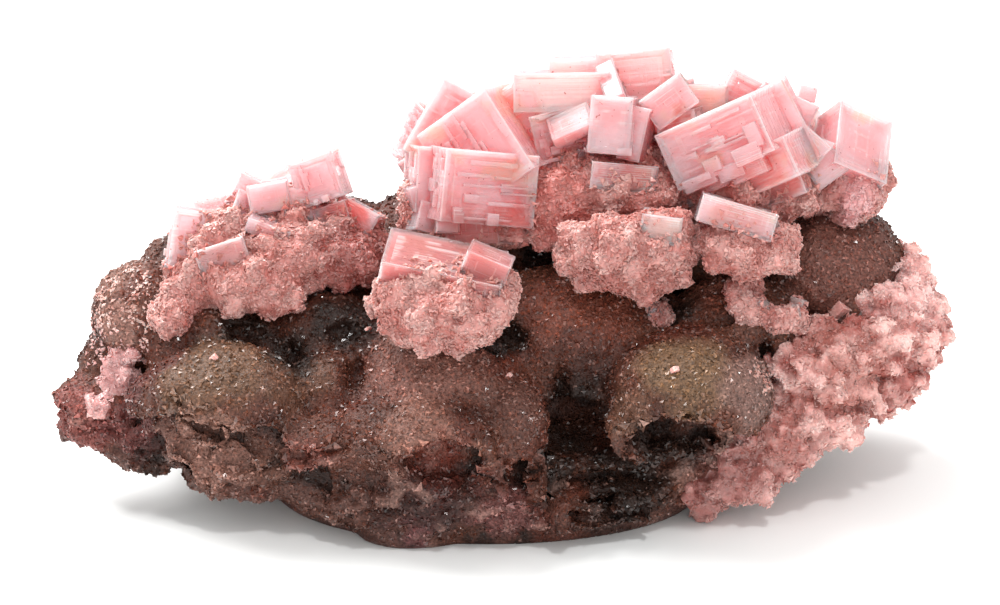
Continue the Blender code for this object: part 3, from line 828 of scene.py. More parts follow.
MAIN_FILLERS = [
    ("filler_centre", (11.5, 5.5, 60), (13, 9, 10), (74, -12, 10)),
    ("filler_shade", (4, 8, 62), (11, 11, 11), (76, -34, -8)),
    ("filler_rose", (16, 2.5, 53), (10, 7.5, 7), (70, 18, 12)),
    ("filler_low", (10, 1.5, 51), (8, 7, 7), (66, -24, -16)),
    ("filler_right", (23.5, 1.5, 52), (8, 6.5, 7), (80, 32, 10)),
    ("filler_gap", (6.5, 2.5, 50.5), (7, 6, 6), (60, 10, 40)),
    ("filler_corner", (-12, -3.5, 48), (5, 5, 5), (70, 20, 14)),
    ("filler_wall", (-12, 1, 53.6), (6, 11, 9), (77, 7, 14)),
    ("filler_chip", (-13.6, -2.5, 51.8), (3.4, 3.6, 3), (80, -12, 24)),
    ("filler_front", (-4.5, -4.5, 47), (9, 6, 6), (74, -6, -4)),
    ("filler_side", (45, -2.5, 55), (7, 6, 6), (76, -28, -20)),
    ("filler_foot", (33, -2.5, 54), (9, 6, 6), (84, -26, -18)),
    ("filler_wing", (52, 2, 57), (7, 7, 6), (70, 12, -30)),
    ("filler_back", (27, 12, 62), (12, 9, 10), (74, -10, 8)),
    ("filler_hinge", (30.5, 1, 61), (7, 8, 8), (78, -18, -12)),
    ("back_filler_a", (-4, 20, 58), (8, 7, 9), (66, 24, 30)),
    ("back_filler_b", (-13, 15, 51), (7, 7, 8), (74, -30, 12)),
    ("back_filler_c", (10.5, 22, 60), (7, 9, 8), (50, 34, -20)),
    ("back_filler_d", (24.5, 22, 61), (8, 6, 9), (70, -24, 26)),
    ("back_filler_e", (39, 20, 58), (8, 9, 7), (62, 28, 18)),
    ("back_filler_f", (50, 15, 57), (7, 8, 8), (76, -16, -34)),
    ("back_filler_g", (3, 25, 52), (8, 6, 6), (58, 20, -14)),
    ("back_filler_h", (27, 25, 54), (8, 6, 6), (68, -32, 8)),
]
# Steps under the front of the big bar, in its own axes: place, size
BAR_STEPS = [
    ((-5, -4.9, 5.9), (6, 2.2, 3)),
    ((0.6, -5.4, 5.4), (4.6, 2.6, 3.4)),
    ((-1.8, -3.2, 6.2), (3, 2.4, 2.4)),
    ((4.6, -3.8, 6.0), (5, 3, 3)),
    ((3.2, -6.4, 4.6), (6.4, 2.6, 3.6)),
    ((-3.4, -6.2, 4.8), (5, 2, 3)),
    ((6.8, -1.4, 6.1), (2.4, 4, 2.4)),
]
bar_centre, bar_turn = [(centre, turn) for name, centre, _, turn in MAIN_CUBES if name == "big_bar"][0]
for number, (place, size) in enumerate(BAR_STEPS):
    step_centre = Vector(bar_centre) + turned(bar_turn) @ Vector(place)
    MAIN_FILLERS.append((f"bar_step_{number}", step_centre, size, bar_turn))
LEFT_CUBES = [
    ("left_cube", (-30, 3, 53), (7.8, 8, 7), (76, -20, -4)),
    ("left_glassy", (-42, 5, 49.5), (6, 6, 6), (73, 26, -10)),
    ("left_box", (-38.5, 1, 50.5), (7, 5, 6), (77, -8, 8)),
    ("left_wing", (-23.5, 1, 47), (7.5, 4, 6), (68, 23, -19)),
    ("left_end", (-51.5, -2, 44), (6.5, 10, 8), (76, 10, 5)),
    ("left_ledge", (-38, -4.6, 46.6), (7.5, 2.6, 5), (84, 19, -7)),
    ("left_pale", (-45.5, -7.8, 43.4), (8.5, 5, 6.4), (84, -17, 6)),
    ("left_hidden", (-34, 10, 48), (9, 8, 8), (20, -25, 40)),
    ("left_hidden_low", (-47, 9, 44), (7, 7, 7), (-20, 18, 60)),
]
LEFT_FILLERS = [
    ("left_filler_a", (-33.5, 1, 49), (6, 5, 5), (70, 12, 16)),
    ("left_filler_b", (-27, 0, 47), (6, 5, 5), (76, -22, -12)),
    ("left_filler_c", (-42, 2.5, 47), (7, 6, 6), (68, 24, 8)),
    ("left_filler_d", (-48, -2, 45), (6, 6, 5), (74, -14, 20)),
]
FRONT_CUBES = [
    ("front_table", (-9, -20.3, 45.4), (19.5, 4, 12.5), (98, 11, -4)),
    ("front_bar", (-2, -22, 46.5), (7.5, 4, 6), (89, 21, -8)),
]
MIDDLE_CUBES = [
    ("middle_box", (26, -15.5, 50.6), (6.6, 4.6, 6), (82, 6, -6)),
    ("middle_left", (15.5, -12, 48.5), (5, 4, 5), (70, -22, 10)),
    ("middle_low", (22, -15, 46.5), (5, 5, 4), (60, 15, 35)),
]
SMALL_RIGHT_CUBES = [
    ("small_slab", (38.2, -13, 51.6), (12.6, 4.6, 7), (76, 15, -6)),
    ("small_under", (42, -13, 48.5), (6, 5, 5), (66, -12, 20)),
]
ARC_CUBES = [
    ("arc_top", (41.5, -8.5, 39), (2.4, 2.6, 2.4), (20, 30, 10)),
    ("arc_left", (38.3, -12.3, 38.4), (2.6, 2.4, 2.2), (50, 10, 30)),
    ("arc_middle", (42.6, -14.6, 36.4), (3, 2.2, 2.4), (15, 40, 0)),
    ("arc_bottom", (45.2, -15.6, 34.2), (3, 2.6, 2.6), (30, 20, 50)),
    ("arc_right", (47.4, -13, 34.8), (3, 2.6, 2.4), (60, 0, 20)),
    ("arc_tip", (49, -9.5, 35), (2.8, 2.4, 2.4), (10, 20, 70)),
]
SINGLE_CUBES = [("single", (24.9, -11, 34.4), (2.6, 3.4, 3.2), (25, 35, 30))]
print("main group:", len(MAIN_CUBES), "crystals and", len(MAIN_FILLERS), "fillers")

# %% Sugary salt under each group: centre, radii
MAIN_SALT = [
    ((-11, 3, 47.5), (6, 7, 5)),
    ((-3, 1, 46), (9, 7, 5)),
    ((13, 3, 50), (11, 9, 8)),
    ((9, -3, 49.5), (5, 5, 6)),
    ((23, 0, 52), (9, 8, 6)),
    ((39, 0, 52.5), (11, 9, 6)),
    ((47, -1, 53), (5.5, 6, 5)),
    ((60, 5, 51), (5.5, 7, 6)),
    ((52, 8, 52), (8, 8, 6)),
    ((10, 13, 53), (17, 11, 9)),
    ((34, 13, 54), (14, 10, 8)),
    ((-6, 15, 50), (9, 8, 6)),
]
LEFT_SALT = [
    ((-41, -8, 38.5), (9.5, 7, 5)),
    ((-35, -3, 42), (9, 8, 5.5)),
    ((-26, -1, 41.5), (8, 7, 5)),
    ((-50, -5, 39), (5, 6, 4)),
    ((-53, -10, 35), (4, 4, 3.2)),
    ((-46, -3, 43), (7, 7, 5)),
    ((-37, 4, 44), (10, 8, 5)),
]
FRONT_SALT = [
    ((-9.5, -22.6, 39.8), (11.2, 7.8, 6)),
    ((-4, -21.5, 40.5), (6.5, 6, 4.5)),
    ((-8.5, -24.5, 36.4), (7.5, 4.6, 3.4)),
]
MIDDLE_SALT = [
    ((19, -14, 46), (8.5, 6.5, 6)),
    ((26, -14, 46), (5, 5.5, 6)),
    ((14, -13, 46.5), (5, 4.5, 3.5)),
    ((22, -14.5, 42), (6, 5, 3.5)),
]
SMALL_RIGHT_SALT = [
    ((39, -12, 46.6), (7.2, 6, 5)),
    ((44, -12, 45.6), (4, 4.5, 3.5)),
]
ARC_SALT = [
    ((41, -10.5, 38.2), (2.2, 2.6, 1.8)),
    ((39, -12.5, 37.6), (2.2, 2, 1.8)),
    ((41.5, -13.8, 36.6), (2.4, 2, 2)),
    ((44.2, -14.8, 34.8), (2.2, 2, 2.2)),
    ((46.6, -13.5, 34), (2, 2.2, 2)),
    ((48.6, -10.5, 33.8), (2, 2.5, 2)),
]
SINGLE_SALT = [((24.4, -10.2, 33.6), (2, 2, 1.8))]
print("sugar under the main group:", len(MAIN_SALT), "lumps")

# %% Steps and terraces of a crystal
STEPPED_FACE = 3.0  # faces narrower than this stay plain
TERRACED_FACE = 7.5  # and faces narrower than this have no laths or blocks
TERRACES = (11, 17)  # how many laths and blocks a face has: at least, and fewer than
LATH_LONG, LATH_WIDE, BLOCK_WIDE = (0.15, 0.6), (0.02, 0.07), (0.05, 0.18)  # as shares of the face's sides
LEAN_TO_FOOT = 0.65
LOOKS_UP = 0.35  # faces whose normal rises more than this stay plain
FACE_EDGE, OVERHANG = 0.97, 0.12  # boxes reach this share of a face, and this far past its edge
BOX_DEPTH = 2.0  # how deep a lath or block is sunk into its crystal


def face_sides(face):
    lengths = [edge.calc_length() for edge in face.edges]
    return min(lengths), max(lengths)


def sink_steps(bm, face, rng):
    """Flat steps sunk one inside the other into a face."""
    shorter = face_sides(face)[0]
    for _ in range(2 if shorter < 6 else 4):
        rim = shorter * rng.uniform(0.03, 0.08)
        depth = rng.uniform(0.06, 0.22)
        bmesh.ops.inset_individual(bm, faces=[face], thickness=rim, depth=-depth)


def box_in(bm, centre, size):
    bmesh.ops.create_cube(bm, size=1, matrix=Matrix.Translation(centre) @ Matrix.Diagonal((*size, 1)))


def terrace_box(size, axis, side, along, down, lath, rng):
    """A box that stands out from one face of a crystal: a lath along it, or a block near its foot."""
    longer, shorter = along
    centre, extent = Vector((0, 0, 0)), Vector((0, 0, 0))
    extent[longer] = size[longer] * rng.uniform(*(LATH_LONG if lath else BLOCK_WIDE))
    extent[shorter] = size[shorter] * rng.uniform(*(LATH_WIDE if lath else BLOCK_WIDE))
    low = 0.0
    for a in along:
        lean = LEAN_TO_FOOT * np.sign(down[a]) if abs(down[a]) > 0.3 and not lath else 0.0
        share = float(np.clip(rng.uniform(-1, 1) + lean, -FACE_EDGE, FACE_EDGE))
        centre[a] = share * ((size[a] - extent[a]) / 2 + OVERHANG)
        low += share * down[a]
    proud = rng.uniform(0.04, 0.2) + max(0.0, low) * rng.uniform(0.1, 0.4 if lath else 1.2)
    extent[axis] = BOX_DEPTH + proud
    centre[axis] = side * (size[axis] + proud - BOX_DEPTH) / 2
    return centre, extent


def terrace_boxes(size, turn, rng):
    """Places and sizes of the laths and blocks of a crystal, two laths to each block."""
    down = turn.transposed() @ Vector((0, 0, -1))
    boxes = []
    for axis in range(3):
        along = sorted((a for a in range(3) if a != axis), key=lambda a: -size[a])
        for side in (-1, 1):
            if side * down[axis] < -LOOKS_UP or size[along[1]] < TERRACED_FACE:
                continue
            for number in range(rng.integers(*TERRACES)):
                boxes.append(terrace_box(size, axis, side, along, down, number % 3 > 0, rng))
    return boxes


print("laths and blocks on faces wider than", TERRACED_FACE, "mm")

# %% One crystal
EDGE_BEVEL = 0.14


def cut_edges(bm, offset):
    bmesh.ops.bevel(
        bm, geom=bm.edges, offset=offset, affect="EDGES", segments=1, profile=0.5, material=-1
    )


def place_crystal(bm, centre, size, turn, number):
    """Moves a body of a crystal to its place.

    Each corner keeps where it was in the crystal, from -1 to 1 along its own axes, and the crystal's number.
    """
    growth_layer = bm.loops.layers.float_vector.new("growth")
    number_layer = bm.loops.layers.float.new("crystal")
    half = Vector(size) / 2
    for face in bm.faces:
        for loop in face.loops:
            loop[growth_layer] = Vector([c / h for c, h in zip(loop.vert.co, half)])
            loop[number_layer] = number
    place = Matrix.Translation(Vector(centre) * MM) @ turn.to_4x4() @ Matrix.Scale(MM, 4)
    bmesh.ops.transform(bm, matrix=place, verts=bm.verts)


def crystal_bodies(name, centre, size, angles, rng):
    """The stepped crystal and its terraces, as separate closed objects."""
    turn = turned(angles)
    number = rng.uniform(0, 100)
    bm = bmesh.new()
    box_in(bm, (0, 0, 0), size)
    cut_edges(bm, EDGE_BEVEL)
    for face in [f for f in bm.faces if face_sides(f)[0] >= STEPPED_FACE]:
        sink_steps(bm, face, rng)
    place_crystal(bm, centre, size, turn, number)
    bodies = [from_bmesh(name, bm)]
    for terrace_centre, extent in terrace_boxes(size, turn, rng):
        bm = bmesh.new()
        box_in(bm, terrace_centre, extent)
        place_crystal(bm, centre, size, turn, number)
        bodies.append(from_bmesh(name + "_terrace", bm))
    return bodies


print("crystal edges are cut by", EDGE_BEVEL, "mm")

# %% Groups of crystals
GROUPS = [
    ("crystals_main", MAIN_CUBES + MAIN_FILLERS, MAIN_SALT),
    ("crystals_left", LEFT_CUBES + LEFT_FILLERS, LEFT_SALT),
    ("crystal_front", FRONT_CUBES, FRONT_SALT),
    ("crystals_middle", MIDDLE_CUBES, MIDDLE_SALT),
    ("crystals_small_right", SMALL_RIGHT_CUBES, SMALL_RIGHT_SALT),
    ("crystals_arc", ARC_CUBES, ARC_SALT),
    ("cube_single", SINGLE_CUBES, SINGLE_SALT),
]


def joined(name, bodies):
    """One solid from overlapping closed bodies."""
    whole, others = bodies[0], bpy.data.collections.new(name)
    whole.name = name
    if len(bodies) == 1:
        return whole
    for body in bodies[1:]:
        others.objects.link(body)
    union = whole.modifiers.new("union", "BOOLEAN")
    union.operation = "UNION"
    union.solver = "MANIFOLD"
    union.operand_type = "COLLECTION"
    union.collection = others
    settle(whole)
    for body in bodies[1:]:
        drop(body)
    bpy.data.collections.remove(others)
    return in_order(whole)


def clear_group(node, cubes, seed):
    rng = np.random.default_rng(seed)
    bodies = []
    for cube in cubes:
        bodies += crystal_bodies(*cube, rng)
    return joined(node + "_clear", bodies)


print("groups:", [group[0] for group in GROUPS])

# %% [markdown]
# ## Clear salt
#
# The clear salt is pink glass with a little milk in it. Each crystal keeps its own axes in the attribute
# "growth", from which one node group draws the zones in which it grew, rings that run round it and stripes
# along it, and a pale rim at its edges that is a painted highlight. Faces that look down are painted a
# deeper pink as shade. Places low in the groups are painted deeper rose as shade and the tops paler as
# light. Plain glass would show an empty group, so part of the light is scattered under the skin, and the
# rest is tinted by the volume on its way through.

# %% Growth zones: lines that run round and along a crystal
zone_group, zone_in, zone_out = new_group(
    "growth_zones",
    [("Growth", "NodeSocketVector", (0, 0, 0)), ("Crystal", "NodeSocketFloat", 0.0)],
    [("Rings", "NodeSocketFloat"), ("Stripes", "NodeSocketFloat"), ("Rim_Highlight", "NodeSocketFloat")],
)


def wave_noise(tree, value, scale, detail, offset):
    """Noise along one number, different for each crystal."""
    along = add(tree, "ShaderNodeMath", {0: value, 1: scale, 2: offset}, operation="MULTIPLY_ADD").outputs[0]
    inputs = {"W": along, "Scale": 1.0, "Detail": detail}
    return add(tree, "ShaderNodeTexNoise", inputs, noise_dimensions="1D").outputs["Fac"]


grown = add(zone_group, "ShaderNodeVectorMath", {0: zone_in["Growth"]}, operation="ABSOLUTE").outputs[0]
along_x, along_y, along_z = add(zone_group, "ShaderNodeSeparateXYZ", {0: grown}).outputs
lower = maths(zone_group, "MINIMUM", along_x, along_y)
upper = maths(zone_group, "MAXIMUM", along_x, along_y)
ring = maths(zone_group, "MAXIMUM", lower, maths(zone_group, "MINIMUM", upper, along_z))
crystal_offset = maths(zone_group, "MULTIPLY", zone_in["Crystal"], 7.3)
zone_group.links.new(wave_noise(zone_group, ring, 8.0, 2, crystal_offset), zone_out["Rings"])
raw_x, raw_y, raw_z = add(zone_group, "ShaderNodeSeparateXYZ", {0: zone_in["Growth"]}).outputs
stripes = wave_noise(zone_group, raw_y, 8.0, 3, crystal_offset)
cross_stripes = wave_noise(zone_group, raw_z, 7.0, 3, crystal_offset)
stripes = maths(zone_group, "MULTIPLY", maths(zone_group, "ADD", stripes, cross_stripes), 0.5)
zone_group.links.new(stripes, zone_out["Stripes"])
zone_group.links.new(ramp(zone_group, ring, 0.945, 0.985), zone_out["Rim_Highlight"])
print("growth zones:", [socket.name for socket in zone_group.interface.items_tree])

# %% Colours of the clear salt
CLEAR_PINK = linear(255, 192, 196)
CLEAR_PALE = linear(255, 224, 222)
CLEAR_ROSE = linear(248, 162, 164)
CLEAR_PEACH = linear(252, 190, 168)
SPECK_BROWN = linear(150, 66, 58)
CLEAR_SHADED_SIDE = linear(252, 140, 138)
CLEAR_DEEP = linear(232, 92, 84)
# Places where the clear salt is painted deeper rose as shade, low in the groups, and paler as light on the
# tops of the main group: centre, radius, colour
CLEAR_STAINS_LIGHT_AND_SHADE = [
    # painted shade: deeper rose low in the main group
    ((13, -2, 50), 9, CLEAR_DEEP),
    ((21, -3, 54), 8, CLEAR_DEEP),
    ((24, 0, 50), 8, CLEAR_DEEP),
    ((2, -6, 47), 7, CLEAR_DEEP),
    ((34, -5, 53), 5, linear(246, 130, 124)),
    ((29, 1, 65), 4, CLEAR_DEEP),
    ((46, -5, 55), 6, CLEAR_DEEP),
    ((-26, 0, 47), 6, CLEAR_DEEP),
    ((-9, -22, 46), 17, linear(186, 112, 108)),
    ((38, -14, 50), 8, linear(232, 158, 156)),
    # painted light: paler on the tops of the main group
    ((10, 4, 69), 9, linear(255, 212, 208)),
    ((23, 9, 71), 9, linear(255, 206, 204)),
    ((37, 0, 66), 7, linear(255, 200, 198)),
    ((11, -1, 60), 6, linear(252, 140, 140)),
    ((-45, -9, 43), 7, linear(244, 146, 142)),
    ((43, -8, 56), 8, linear(252, 140, 134)),
    ((49, 0, 58), 6, linear(248, 150, 146)),
    ((-4, -7, 45.5), 8, linear(242, 130, 124)),
    ((-37, -6, 47), 5, linear(248, 152, 150)),
    ((26, -16, 50), 6, linear(255, 184, 176)),
    ((44, -12, 35), 9, linear(250, 170, 162)),
]
print("stained places of the clear salt:", len(CLEAR_STAINS_LIGHT_AND_SHADE))

# %% Colour of the clear salt
clear_salt, clear_tree, clear_shader = new_material("clear_pink_salt", 0.06)
clear_place = add(clear_tree, "ShaderNodeTexCoord").outputs["Object"]
inputs = {"Growth": attribute(clear_tree, "growth", "Vector"), "Crystal": attribute(clear_tree, "crystal")}
zones = placed_group(clear_tree, zone_group, inputs)
cloud = ramp(clear_tree, speckle(clear_tree, clear_place, 6, 3), 0.42, 0.66, 0.6)
clear_colour = mixed(clear_tree, cloud, CLEAR_PINK, CLEAR_ROSE)
peach = ramp(clear_tree, speckle(clear_tree, clear_place, 7, 3, 4.0), 0.54, 0.66, 0.6)
clear_colour = mixed(clear_tree, peach, clear_colour, CLEAR_PEACH)
ragged = ragged_by(clear_tree, clear_place, 3, 4)
clear_colour = stained_and_shaded(clear_tree, clear_colour, clear_place, CLEAR_STAINS_LIGHT_AND_SHADE, 0.85, ragged)
# painted shade: faces that look down are mixed towards a deeper pink
clear_normal = add(clear_tree, "ShaderNodeNewGeometry").outputs["Normal"]
clear_rise = add(clear_tree, "ShaderNodeSeparateXYZ", {0: clear_normal}).outputs["Z"]
clear_colour = mixed(clear_tree, ramp(clear_tree, clear_rise, 0.3, -0.6, 0.4), clear_colour, CLEAR_SHADED_SIDE)
print("the clear salt's nodes so far:", len(clear_tree.nodes))

# %% Zones and specks in the clear salt
patches = ramp(clear_tree, speckle(clear_tree, clear_place, 4, 2, 9.0), 0.44, 0.58)
ring_lines = maths(clear_tree, "MULTIPLY", ramp(clear_tree, zones["Rings"], 0.57, 0.62), patches)
stripe_lines = maths(clear_tree, "MULTIPLY", ramp(clear_tree, zones["Stripes"], 0.55, 0.64), patches)
# the rim's share paints a pale highlight along each crystal's edges
for lines, strength in ((ring_lines, 0.25), (stripe_lines, 0.55), (zones["Rim_Highlight"], 0.25)):
    share = maths(clear_tree, "MULTIPLY", lines, strength)
    clear_colour = mixed(clear_tree, share, clear_colour, CLEAR_PALE)
specks = ramp(clear_tree, speckle(clear_tree, clear_place, 0.5, 0, 2.0), 0.78, 0.82, 0.7)
clear_colour = mixed(clear_tree, specks, clear_colour, SPECK_BROWN)
clear_tree.links.new(clear_colour, clear_shader.inputs["Base Color"])
line_height = maths(clear_tree, "ADD", maths(clear_tree, "MULTIPLY", ring_lines, 0.3), zones["Stripes"])
clear_height = maths(clear_tree, "ADD", line_height, speckle(clear_tree, clear_place, 1.2, 3))
inputs = {"Height": clear_height, "Distance": 0.25 * MM, "Strength": 1.0}
clear_bump = add(clear_tree, "ShaderNodeBump", inputs)
clear_tree.links.new(clear_bump.outputs["Normal"], clear_shader.inputs["Normal"])
print("the clear salt's nodes:", len(clear_tree.nodes))

# %% Inside of the clear salt
CLEAR_SHARE = 0.42  # light that goes straight through; the rest is scattered by milky zones
MILK_DEPTH, MILK_COLOUR = 8, (1.0, 0.65, 0.62)
DEPTH_COLOUR, DEPTH_DENSITY = (1.0, 0.55, 0.55, 1), 70  # colour left after 1 / density metres
clear_shader.inputs["Transmission Weight"].default_value = CLEAR_SHARE
clear_shader.inputs["Subsurface Weight"].default_value = 1.0
clear_shader.inputs["Subsurface Radius"].default_value = MILK_COLOUR
clear_shader.inputs["Subsurface Scale"].default_value = MILK_DEPTH * MM
absorbing = clear_tree.nodes.new("ShaderNodeVolumeAbsorption")
absorbing.inputs["Color"].default_value = DEPTH_COLOUR
absorbing.inputs["Density"].default_value = DEPTH_DENSITY
clear_tree.links.new(absorbing.outputs["Volume"], clear_tree.nodes["Material Output"].inputs["Volume"])

for seed, (node, cubes, _) in enumerate(GROUPS):
    finish(clear_group(node, cubes, 100 + seed), clear_salt, "pink_halite", node)

# %% [markdown]
# ## Sugary salt under the crystals
#
# The cubes stand on fine-grained salt that looks like wet sugar. It is melted from ellipsoids as the rock
# is, at a finer grid, and covered with cube corners large enough to make its outline ragged. Some grains
# cling to the feet of the clear crystals, so that they grow out of the sugar. Grains alone would leave
# holes, and the melted body alone would look like dough. The attribute "proud" runs from 0 in its gaps to
# 1 on its high places. The high places are painted paler as light and the gaps deeper as shade.

# %% Places of the sugary salt and crust painted darker as shade and paler as light, with some stains of their own: centre, radius, colour
SUGAR_STAINS_LIGHT_AND_SHADE = [
    # painted shade: the right part of the left sugar
    ((-24, -4, 41), 10, linear(144, 66, 60)),
    # painted shade: deep rose in the middle of the main group
    ((10, -1, 49), 11, linear(196, 96, 88)),
    ((22, -1, 49), 8, linear(196, 96, 88)),
    # painted shade: the right crust darkens low down and towards its left
    ((36, -17, 8), 15, linear(156, 100, 94)),
    ((46, -16, 16), 10, linear(164, 104, 96)),
    ((55, -12, 25), 11, linear(172, 108, 98)),
    ((60, -6, 50), 9, linear(228, 158, 158)),
    # painted light: the upper right of the crust is paler
    ((67, 0, 33), 10, linear(250, 196, 190)),
    ((-64, -12, 23), 12, linear(196, 144, 142)),
    ((62, -4, 19), 8, linear(196, 114, 102)),
]
print("stained places of the sugar:", len(SUGAR_STAINS_LIGHT_AND_SHADE))

# %% Sugar colour group
sugar_group, sugar_in, sugar_out = new_group(
    "sugar_colour",
    [
        ("Place", "NodeSocketVector", (0, 0, 0)),
        ("Proud", "NodeSocketFloat", 0.5),
        ("Tint", "NodeSocketFloat", 0.5),
        ("Pale", "NodeSocketColor", (1, 1, 1, 1)),
        ("Deep", "NodeSocketColor", (1, 1, 1, 1)),
    ],
    [("Color", "NodeSocketColor")],
)
sugar_place, proud = sugar_in["Place"], sugar_in["Proud"]
cloud = ramp(sugar_group, speckle(sugar_group, sugar_place, 5, 3), 0.38, 0.62)
sugar_colour = mixed(sugar_group, cloud, sugar_in["Pale"], sugar_in["Deep"])
# painted shade: the gaps of the sugar are deeper
painted_shade_gaps = ramp(sugar_group, proud, 0.4, 0.1, 0.7)
sugar_colour = mixed(sugar_group, painted_shade_gaps, sugar_colour, sugar_in["Deep"])
# painted light: the high places are paler
painted_light_tops = ramp(sugar_group, proud, 0.55, 0.9, 0.7)
sugar_colour = mixed(sugar_group, painted_light_tops, sugar_colour, sugar_in["Pale"])
ragged = ragged_by(sugar_group, sugar_place, 4, 4)
sugar_colour = stained_and_shaded(sugar_group, sugar_colour, sugar_place, SUGAR_STAINS_LIGHT_AND_SHADE, 0.75, ragged)
level = scaled(sugar_group, sugar_in["Tint"], 0.9, 1.12)
fine_level = scaled(sugar_group, speckle(sugar_group, sugar_place, 0.5, 2), 0.6, 1.4)
level = maths(sugar_group, "MULTIPLY", level, fine_level)
sugar_group.links.new(mixed(sugar_group, 1.0, sugar_colour, level, "MULTIPLY"), sugar_out["Color"])
print("sugar colour:", len(sugar_group.nodes), "nodes")

# %% Sugar material


def sugar_material(name, pale, deep, rough, scatter_depth):
    """Salt like wet sugar, with a little light scattered under its skin."""
    made, tree, shader = new_material(name, rough)
    place = add(tree, "ShaderNodeTexCoord").outputs["Object"]
    inputs = {
        "Place": place,
        "Proud": attribute(tree, "proud"),
        "Tint": attribute(tree, "tint"),
        "Pale": (*pale, 1),
        "Deep": (*deep, 1),
    }
    tree.links.new(placed_group(tree, sugar_group, inputs)["Color"], shader.inputs["Base Color"])
    bump = add(tree, "ShaderNodeBump", {"Height": speckle(tree, place, 0.4, 1), "Distance": 0.25 * MM})
    tree.links.new(bump.outputs["Normal"], shader.inputs["Normal"])
    shader.inputs["Subsurface Weight"].default_value = 0.5
    shader.inputs["Subsurface Radius"].default_value = (1.0, 0.45, 0.4)
    shader.inputs["Subsurface Scale"].default_value = scatter_depth * MM
    return made


sugar_finish = sugar_material("pink_sugar", linear(196, 138, 130), linear(180, 107, 99), 0.22, 2.4)
crust_finish = sugar_material("pink_crust_salt", linear(236, 184, 176), linear(160, 84, 76), 0.2, 2.0)
print("sugar materials:", sugar_finish.name, crust_finish.name)

# %% Bodies of sugar
SUGAR_VOXEL = 0.6
BLOCK_TURN = (76, -8, -5)  # most blocks lie nearly as the clear cubes do, in degrees


def cube_at(bm, centre, angles, size):
    """A cube of a bmesh in metres. Its centre and size are in millimetres, its angles in degrees."""
    place = Matrix.Translation(centre * MM) @ turned(angles).to_4x4() @ Matrix.Diagonal((*(size * MM), 1))
    bmesh.ops.create_cube(bm, size=1, matrix=place)


def add_blocks(bm, lumps, rng, per_mm2, sizes, spread, out):
    """Small cubes sunk in the surface of ellipsoids, nearly parallel to each other where spread is small."""
    for centre, radii in lumps:
        mean = sum(radii) / 3
        for _ in range(int(4 * math.pi * mean**2 * per_mm2)):
            way = Vector(rng.normal(size=3)).normalized()
            place = Vector(centre) + out * Vector([w * r for w, r in zip(way, radii)])
            angles = [a + rng.normal(0, spread) for a in BLOCK_TURN]
            size = rng.uniform(*sizes) * Vector(rng.uniform(0.6, 1.2, size=3))
            cube_at(bm, place, angles, size)


def height_over(places, lumps):
    """How far each place, in millimetres, stands out from the nearest ellipsoid."""
    heights = np.full(len(places), np.inf)
    for centre, radii in lumps:
        share = np.sqrt((((places - centre) / np.array(radii)) ** 2).sum(1))
        heights = np.minimum(heights, (share - 1) * sum(radii) / 3)
    return heights


def sugar_body(name, lumps, rng, block_sets, beads, core=0.93):
    """Ellipsoids and blocks melted together, with a beaded skin. "proud" is high on its high places."""
    bm = bmesh.new()
    for centre, radii in lumps:
        ellipsoid(bm, centre, [core * r for r in radii], 3)
    for blocks in block_sets:
        add_blocks(bm, lumps, rng, **blocks)
    body = remeshed(from_bmesh(name, bm), SUGAR_VOXEL, 1)
    for pitch, relief in beads:
        raise_skin(body, lambda place, _: relief * (0.5 - cell_distance(place, pitch)))
    places = places_of(body)
    gaps = np.array([cell_distance(p, beads[0][0]) for p in places])
    store(body, "proud", np.clip(0.4 + height_over(places, lumps) / 4 + 0.7 * (0.35 - gaps), 0, 1))
    body.data.shade_smooth()
    return body


def inside_cubes(places, cubes):
    """Which places, in millimetres, lie inside any of the crystals' boxes."""
    found = np.zeros(len(places), bool)
    for _, centre, size, angles in cubes:
        local = (places - np.array(centre)) @ np.array(turned(angles))
        found |= (np.abs(local) < np.array(size) / 2).all(1)
    return found


print("the sugar's grid:", SUGAR_VOXEL, "mm")

# %% Sugar of each group
SUGAR_BLOCKS = [{"per_mm2": 0.07, "sizes": (1.4, 4.2), "spread": 16, "out": 0.93}]
SUGAR_BEADS = [(1.3, 0.3)]  # pitch and height of the beads of its skin
GRAINS_PER_MM2, GRAIN_SIZES, GRAIN_TILT = 2.4, (0.35, 0.95), 0.9
CLINGING_PER_MM2, CLINGING_SIZES, CLINGING_PROUD = 1.7, (0.4, 1.1), 0.6
COVERED_BY_ROCK = 0.97  # what lies inside this much of a rock body is hidden

for seed, (node, cubes, salt) in enumerate(GROUPS):
    rng = np.random.default_rng(400 + seed)
    sugar = sugar_body(node + "_sugar", salt, rng, SUGAR_BLOCKS, SUGAR_BEADS)
    places = places_of(sugar)
    store(sugar, "open", ~(inside_lumps(places, ROCK_BODIES, COVERED_BY_ROCK) | inside_cubes(places, cubes)))
    sowing = (sugar, corner, GRAINS_PER_MM2, GRAIN_SIZES, GRAIN_TILT, 200 + seed)
    grains = scatter(node + "_grains", *sowing, mask="open")
    clear = bpy.data.objects[node + "_clear"]
    sowing = (clear, corner, CLINGING_PER_MM2, CLINGING_SIZES, GRAIN_TILT, 260 + seed)
    clinging = scatter(node + "_clinging", *sowing, beside=sugar)
    store(clinging, "proud", CLINGING_PROUD)
    for piece in (sugar, grains, clinging):
        finish(piece, sugar_finish, "pink_crust", node)

# %% [markdown]
# ## Crust of coarse salt
#
# The right end is wrapped in pink salt like popcorn: rounded crystals two or three millimetres across,
# crowded over each other, with gaps between them that are painted dark as shade. It is made as the sugar
# is, with coarser blocks and beads, and a smaller patch of it sits on the left end.

